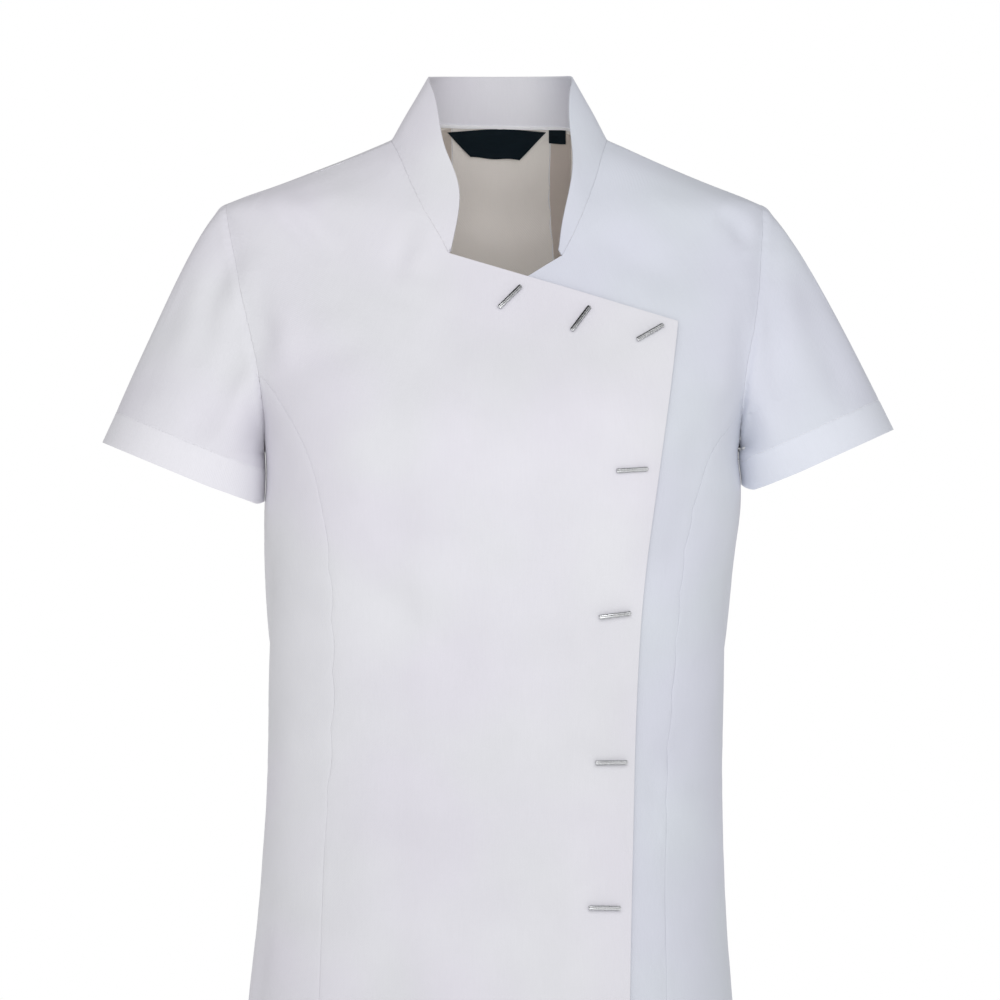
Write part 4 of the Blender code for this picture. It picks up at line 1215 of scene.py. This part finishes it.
def ribbon(name, points, tree, offsets, depth, wall, upwards, shares=None):
    # a strip inside the cloth that follows a line, with its rows at the given offsets
    closed = (points[0] - points[-1]).length < sewn["touching"]
    if closed:
        points = points[:-1]
    count = len(points)
    for i in range(sewn["pressed"]):
        ends = (points[-1], points[0]) if closed else (points[0], points[-1])
        points = [(before + 2 * point + after) / 4 for before, point, after in zip(
            [ends[0], *points[:-1]], points, [*points[1:], ends[1]])]
    verts = []
    uvs = []
    along = 0
    for i, point in enumerate(points):
        before = points[(i - 1) % count if closed else max(i - 1, 0)]
        after = points[(i + 1) % count if closed else min(i + 1, count - 1)]
        tangent = (after - before).normalized()
        place, normal, index, distance = tree.find_nearest(point)
        across = tangent.cross(normal).normalized()
        if across.dot(upwards) < 0:
            across.negate()
        for offset in offsets:
            offset *= 1 if shares is None else shares[i]
            place, normal, index, distance = tree.find_nearest(point + across * offset)
            verts.append(place - normal * depth)
            uvs.append((along, offset))
        along += (after - point).length
    columns = len(offsets)
    faces = []
    for i in range(count if closed else count - 1):
        for j in range(columns - 1):
            a = i * columns + j
            b = (i + 1) % count * columns + j
            faces.append((a, a + 1, b + 1, b))
    mesh = bpy.data.meshes.new(name)
    mesh.from_pydata(verts, [], faces)
    layer = mesh.uv_layers.new(name="cloth")
    for loop in mesh.loops:
        layer.data[loop.index].uv = uvs[loop.vertex_index]
    strip = newObject(name, mesh)
    bm = loadMesh(mesh)
    bmesh.ops.recalc_face_normals(bm, faces=bm.faces)
    middle = bm.faces[:][len(bm.faces) // 2]
    place, normal, index, distance = tree.find_nearest(middle.calc_center_median())
    if middle.normal.dot(normal) < 0:
        bmesh.ops.reverse_faces(bm, faces=bm.faces)
    for face in bm.faces:
        face.smooth = True
    storeMesh(bm, mesh)
    applyModifier(strip, "SOLIDIFY", thickness=wall, offset=-1.0)
    smoothByAngle(strip, sewn["smoothAngle"])
    declare(strip)
    return strip, max(offsets) - min(offsets), along


def skinPoints(run):
    return [skin.data.vertices[i].co.copy() for i in run]


def neckLine():
    # the seam of the collar, from one side of the neck round the back to the other
    found = {i for names, runs in seamRuns.items() if "collar" in names for run in runs for i in run}
    turned = sorted((math.atan2(co.x, co.y), i, co) for i, co in zip(found, skinPoints(found)))
    return resample([co for turn, i, co in turned if abs(turn) < sewn["tapeTurn"]], sewn["tapeStep"])


def bodyHemRuns():
    # the names of the body's pieces, with the points along their bottom edges
    corners = skin.data.vertices
    runs = [(name, [i for i in run if corners[i].co.z < bottom + hem["lowest"]])
            for name in bodyNames for run in rimRuns[name]]
    return [(name, run) for name, run in runs if len(run) > hem["fewest"]]


def seamStrips(depth):
    rows = [share * sewn["allowance"] for share in sewn["rows"]]
    for names, runs in seamRuns.items():
        if "collar" not in names and not names[1].startswith("sleeve"):
            points = resample(skinPoints(runs[0]), sewn["step"])
            middle = sum(points, Vector()) / len(points)
            away = Vector((math.copysign(1, middle.x), 0, 0))           # from the centre
            if "back_centre" not in names and any("side_back" in name for name in names):
                away = Vector((0, 1, 0))                                # to the back
            label = "seam_%s_%s" % names
            yield ribbon(label, points, pieceTree(names), rows, depth, sewn["wall"], away)


def armholeStrips(depth):
    rows = [share * sewn["allowance"] for share in sewn["armholeRows"]]
    for name, run in armholeRuns.items():
        line = skinPoints(run[:-1] if run[0] == run[-1] else run)
        lowest = min(range(len(line)), key=lambda i: line[i].z)
        line = line[lowest:] + line[:lowest]            # cut open under the arm
        line = [co for co in line if co.z > line[0].z + sewn["armpit"]]
        points = resample(line, sewn["step"])
        outwards = Vector((math.copysign(1, points[0].x), 0, 0))        # into the sleeve
        yield ribbon("seam_armhole_" + name, points, pieceTree([name]), rows, depth, sewn["wall"],
                     outwards)


def hemStrips(depth):
    for name, run in bodyHemRuns():
        points = resample(skinPoints(run), sewn["step"])
        yield ribbon("hem_" + name, points, pieceTree([name]), hem["bodyRows"], depth,
                     hem["turnedUp"], up)
    for name, mouth in mouths.items():
        points = resample(skinPoints(rimRuns[name][0]), sewn["step"])
        shares = [height / hem["sleeveDepth"] for height in hemHeights(points, mouth)]
        yield ribbon("hem_" + name, points, pieceTree([name]), hem["sleeveRows"], depth,
                     hem["turnedUp"], mouth[1], shares)


def sewInside():
    first = cloth["thickness"] + sewn["clear"]
    second = first + sewn["wall"] + sewn["clear"]       # hems lie on the seam allowances
    strips = [*seamStrips(first), *armholeStrips(first), *hemStrips(second)]
    rows = [-sewn["tapeDown"], 0, sewn["tapeUp"]]
    cord, width, length = ribbon("neck_piping", neckLine(), pieceTree(bodyNames + ["collar"]), rows,
                                 cloth["collarThickness"] + sewn["clear"], sewn["tapeWall"], up)
    giveMaterials(cord, cottonTape)
    for strip, width, length in strips:
        # hems get the inside cloth, with its painted light
        giveMaterials(strip, allowanceTwill if strip.name.startswith("seam") else paintedLightInsideTwill)
        print("%s: %.0f by %.0f mm" % (strip.name, width / mm, length / mm))


sewInside()


# metal bars: each one is the cap of a press fastener

barForm = {"sides": 40, "dome": 0.45, "domeSteps": 5, "smoothAngle": 40.0}


def barShape(radius, length):
    # a round rod, modelled lying along X, with its ends turned to soft domes
    deselectAll()
    bpy.ops.mesh.primitive_cylinder_add(vertices=barForm["sides"], radius=radius, depth=length,
                                        rotation=(0, math.radians(90), 0))
    rod = bpy.context.active_object
    bpy.ops.object.transform_apply(location=False, rotation=True, scale=False)
    bpy.ops.object.mode_set(mode="EDIT")
    bpy.ops.mesh.select_all(action="DESELECT")
    bm = bmesh.from_edit_mesh(rod.data)
    for line in bm.edges:
        line.select = all(abs(abs(v.co.x) - length / 2) < tiny for v in line.verts)
    bmesh.update_edit_mesh(rod.data)
    bpy.ops.mesh.bevel(offset=radius * (1 - barForm["dome"]), segments=barForm["domeSteps"],
                       profile=0.5)
    bpy.ops.mesh.select_all(action="SELECT")
    bpy.ops.mesh.normals_make_consistent(inside=False)
    bpy.ops.object.mode_set(mode="OBJECT")
    return rod


def buildBars():
    for name in [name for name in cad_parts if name.startswith("rod")]:
        points = np.array([v.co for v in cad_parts[name].data.vertices])
        middle = (points.max(0) + points.min(0)) / 2
        ends = points - points.mean(0)
        along = np.linalg.svd(ends, full_matrices=False)[2][0]
        reach = ends @ along
        length = reach.max() - reach.min()
        spokes = ends - np.outer(reach, along)
        radius = np.linalg.norm(spokes, axis=1).max()
        rod = barShape(radius, length)
        turn = Vector((1, 0, 0)).rotation_difference(Vector(along))
        rod.data.transform(Matrix.Translation(Vector(middle)) @ turn.to_matrix().to_4x4())
        giveMaterials(rod, chrome)
        rod.name = "bar_" + name.split("_")[1]
        rod.data.name = rod.name
        smoothByAngle(rod, barForm["smoothAngle"])
        declare(rod)
        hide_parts(name)
        print("%s: %.1f by %.1f mm" % (rod.name, length / mm, 2 * radius / mm))


buildBars()


# stitches: one soft capsule, repeated along each line as one mesh

stitch = {"long": 2.0 * mm, "thick": 0.42 * mm, "pitch": 2.8 * mm, "sink": 0.10 * mm,
          "waist": 0.1,         # of its thickness: points beyond this belong to its ends
          "steps": 6}


def stitchShape():
    deselectAll()
    bpy.ops.mesh.primitive_uv_sphere_add(segments=6, ring_count=4, radius=stitch["thick"] / 2,
                                         rotation=(0, math.radians(90), 0))
    one = bpy.context.active_object
    bpy.ops.object.transform_apply(location=False, rotation=True, scale=False)
    bpy.ops.object.mode_set(mode="EDIT")
    for side in (1, -1):
        bm = bmesh.from_edit_mesh(one.data)
        for v in bm.verts:
            v.select = v.co.x * side > stitch["thick"] * stitch["waist"]
        bm.select_flush_mode()
        bmesh.update_edit_mesh(one.data)
        bpy.ops.transform.translate(value=(side * (stitch["long"] - stitch["thick"]) / 2, 0, 0))
    bpy.ops.object.mode_set(mode="OBJECT")
    corners = np.array([v.co for v in one.data.vertices])
    faces = [tuple(p.vertices) for p in one.data.polygons]
    bpy.data.objects.remove(one)
    return corners, faces


def stitchLine(name, points, tree):
    corners, faces = stitchShape()
    spots = resample(points, stitch["pitch"])
    verts = []
    allFaces = []
    for before, after in zip(spots, spots[1:]):
        along = (after - before).normalized()
        place, normal, index, distance = tree.find_nearest((before + after) / 2)
        side = normal.cross(along).normalized()
        turn = np.array([along, side, along.cross(side)])
        start = len(verts)
        seat = np.array(place + normal * (stitch["thick"] / 2 - stitch["sink"]))
        verts += list(corners @ turn + seat)
        allFaces += [tuple(start + k for k in face) for face in faces]
    mesh = bpy.data.meshes.new(name)
    mesh.from_pydata([tuple(v) for v in verts], [], allFaces)
    mesh.polygons.foreach_set("use_smooth", [True] * len(mesh.polygons))
    mesh.update()
    line = newObject(name, mesh)
    giveMaterials(line, thread)
    declare(line)
    print("%s: %d stitches" % (name, len(spots) - 1))


def stitchHem(name, points, upwards, heights):
    # along the line on the cloth at these heights above its edge, which is reached in small steps
    tree = pieceTree([name])
    lifted = []
    for point, height in zip(points, heights):
        step = upwards * (height / stitch["steps"])
        for i in range(stitch["steps"]):
            point, normal, index, distance = tree.find_nearest(point + step)
        lifted.append(point)
    stitchLine("stitches_" + name, lifted, tree)


def sewHems():
    for name, run in bodyHemRuns():
        stitchHem(name, skinPoints(run), up, [hem["bodyDepth"]] * len(run))
    for name, mouth in mouths.items():
        rim = skinPoints(rimRuns[name][0])
        stitchHem(name, rim, mouth[1], hemHeights(rim, mouth))


sewHems()


# cloth tabs inside the neck, in millimetres across and up, sewn on at their top edge
tabs = {
    "label_neck": [(-40.0, 9.8), (0.0, 12.9), (33.5, 9.8), (13.8, -10.6), (-22.7, -8.6)],
    "label_size": [(35.8, 12.9), (48.4, 12.9), (48.4, 1.6), (35.8, 1.6)],
}
tab = {"step": 1.5 * mm, "depth": 2.0 * mm, "wall": 0.35 * mm, "lift": 0.035, "smoothAngle": 40.0,
       "wave": 0.5 * mm, "waveLength": 5.5 * mm,        # its free edge stands off the cloth unevenly
       "uneven": 0.5 * mm, "unevenLength": 4.2 * mm}    # and hangs unevenly


def tabSheet(name, corners):
    # a flat outline with a fine grid, laid against the inside of the back
    bm = bmesh.new()
    bm.faces.new([bm.verts.new((x * mm, 0, z * mm)) for x, z in corners])
    low = np.min(corners, axis=0) * mm
    high = np.max(corners, axis=0) * mm
    for axis, direction in ((0, (1, 0, 0)), (1, (0, 0, 1))):
        for place in np.arange(low[axis] + tab["step"], high[axis] - tab["step"] / 2, tab["step"]):
            bmesh.ops.bisect_plane(bm, geom=bm.verts[:] + bm.edges[:] + bm.faces[:], dist=tiny,
                                   plane_co=Vector(direction) * place, plane_no=direction)
    area = sum(face.calc_area() for face in bm.faces)
    tree = pieceTree(bodyNames + ["collar"])
    for v in bm.verts:
        lowness = (high[1] - v.co.z) / (high[1] - low[1])
        v.co.z += math.sin(v.co.x / tab["unevenLength"]) * tab["uneven"] * lowness ** 2
        hit, normal, index, distance = tree.ray_cast(Vector((v.co.x, 0, v.co.z)), Vector((0, 1, 0)))
        hang = (high[1] - v.co.z) * tab["lift"]
        hang += math.sin(v.co.x / tab["waveLength"]) * tab["wave"] * lowness
        v.co.y = hit.y - tab["depth"] - max(hang, 0)
    bmesh.ops.recalc_face_normals(bm, faces=bm.faces)
    if bm.faces[:][0].normal.y < 0:
        bmesh.ops.reverse_faces(bm, faces=bm.faces)
    mesh = bpy.data.meshes.new(name)
    storeMesh(bm, mesh)
    sheet = newObject(name.replace("label", "tab"), mesh)
    giveMaterials(sheet, navy)
    applyModifier(sheet, "SOLIDIFY", thickness=tab["wall"], offset=-1.0)
    smoothByAngle(sheet, tab["smoothAngle"])
    declare(sheet)
    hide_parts(name)


for name, corners in tabs.items():
    tabSheet(name, corners)
print("tabs sewn in")


# studio: soft light, a little stronger from the front, and a plain pale floor

studio = {
    "floorSize": 16.0, "floorZ": -1.38, "floorColour": "#F2F2F2", "floorGlow": 0.35,
    # strengths of the light from all round: even, from both faces, the front, a side and above
    "even": 0.50, "frontBack": 0.42, "front": 0.14, "side": 0.05, "above": -0.17,
    "keyPower": 4.1, "keySize": 0.8, "keyPlace": (0.14, -1.15, 0.14), "keyAim": (0.0, 0.0, -0.14),
    "cardSize": (6.0, 3.6), "cardPlace": (-0.9, -1.2, 1.6), "cardColour": "#050506",
}


def buildWorld():
    # the background is white, and the light from all round is softly graded
    world = bpy.data.worlds.new("studio")
    world.use_nodes = True
    bpy.context.scene.world = world
    world.node_tree.nodes.clear()
    place = addNode(world, "TexCoord", {})
    split = addNode(world, "SeparateXYZ", {}, {"Vector": place.outputs["Generated"]})
    both = addNode(world, "Math", {"operation": "ABSOLUTE"}, {0: split.outputs["Y"]})
    light = addNode(world, "Math", {"operation": "MULTIPLY_ADD", 1: studio["frontBack"],
                    2: studio["even"]}, {0: both.outputs["Value"]}).outputs["Value"]
    for axis, share in (("Y", -studio["front"]), ("X", -studio["side"]), ("Z", studio["above"])):
        light = addNode(world, "Math", {"operation": "MULTIPLY_ADD", 1: share},
                        {0: split.outputs[axis], 2: light}).outputs["Value"]
    ray = addNode(world, "LightPath", {})
    seen = addNode(world, "Mix", {"data_type": "FLOAT", 3: 1.0},
                   {0: ray.outputs["Is Camera Ray"], 2: light})
    glow = addNode(world, "Background", {"Color": (1, 1, 1, 1)}, {"Strength": seen.outputs[0]})
    addNode(world, "OutputWorld", {}, {"Surface": glow.outputs["Background"]})


def stagePlane(name, material, size, place):
    deselectAll()
    bpy.ops.mesh.primitive_plane_add(size=size, location=place)
    plane = bpy.context.active_object
    plane.name = name
    giveMaterials(plane, material)
    return plane


def buildStudio():
    buildWorld()
    # matt paper, lit softly from the room
    paper = newMaterial("mattPaperFloor", {
        "Base Color": toLinear(studio["floorColour"]), "Roughness": 0.9,
        "Emission Color": (1, 1, 1, 1), "Emission Strength": studio["floorGlow"]})
    stagePlane("floor", paper, studio["floorSize"], (0, 0, studio["floorZ"]))
    bpy.ops.object.transform_apply(location=True, rotation=False, scale=False)
    # a dark card above, which only the metal reflects
    black = newMaterial("blackCard", {
        "Base Color": toLinear(studio["cardColour"]), "Roughness": 1.0, "Specular IOR Level": 0.0})
    card = stagePlane("darkCard", black, 1, studio["cardPlace"])
    card.scale = (*studio["cardSize"], 1)
    card.rotation_euler = Vector(studio["cardPlace"]).to_track_quat("Z", "Y").to_euler()
    card.visible_camera = False
    card.visible_diffuse = False
    card.visible_shadow = False
    # a soft key from the upper left of the picture
    data = bpy.data.lights.new("softbox", "AREA")
    data.shape = "SQUARE"
    data.size = studio["keySize"]
    data.energy = studio["keyPower"]
    softbox = newObject("softbox", data)
    softbox.location = studio["keyPlace"]
    aim = Vector(studio["keyAim"]) - softbox.location
    softbox.rotation_euler = aim.to_track_quat("-Z", "Y").to_euler()
    bpy.context.scene.view_settings.view_transform = "Standard"


buildStudio()
print("studio built")
bpy.data.objects.remove(skin)
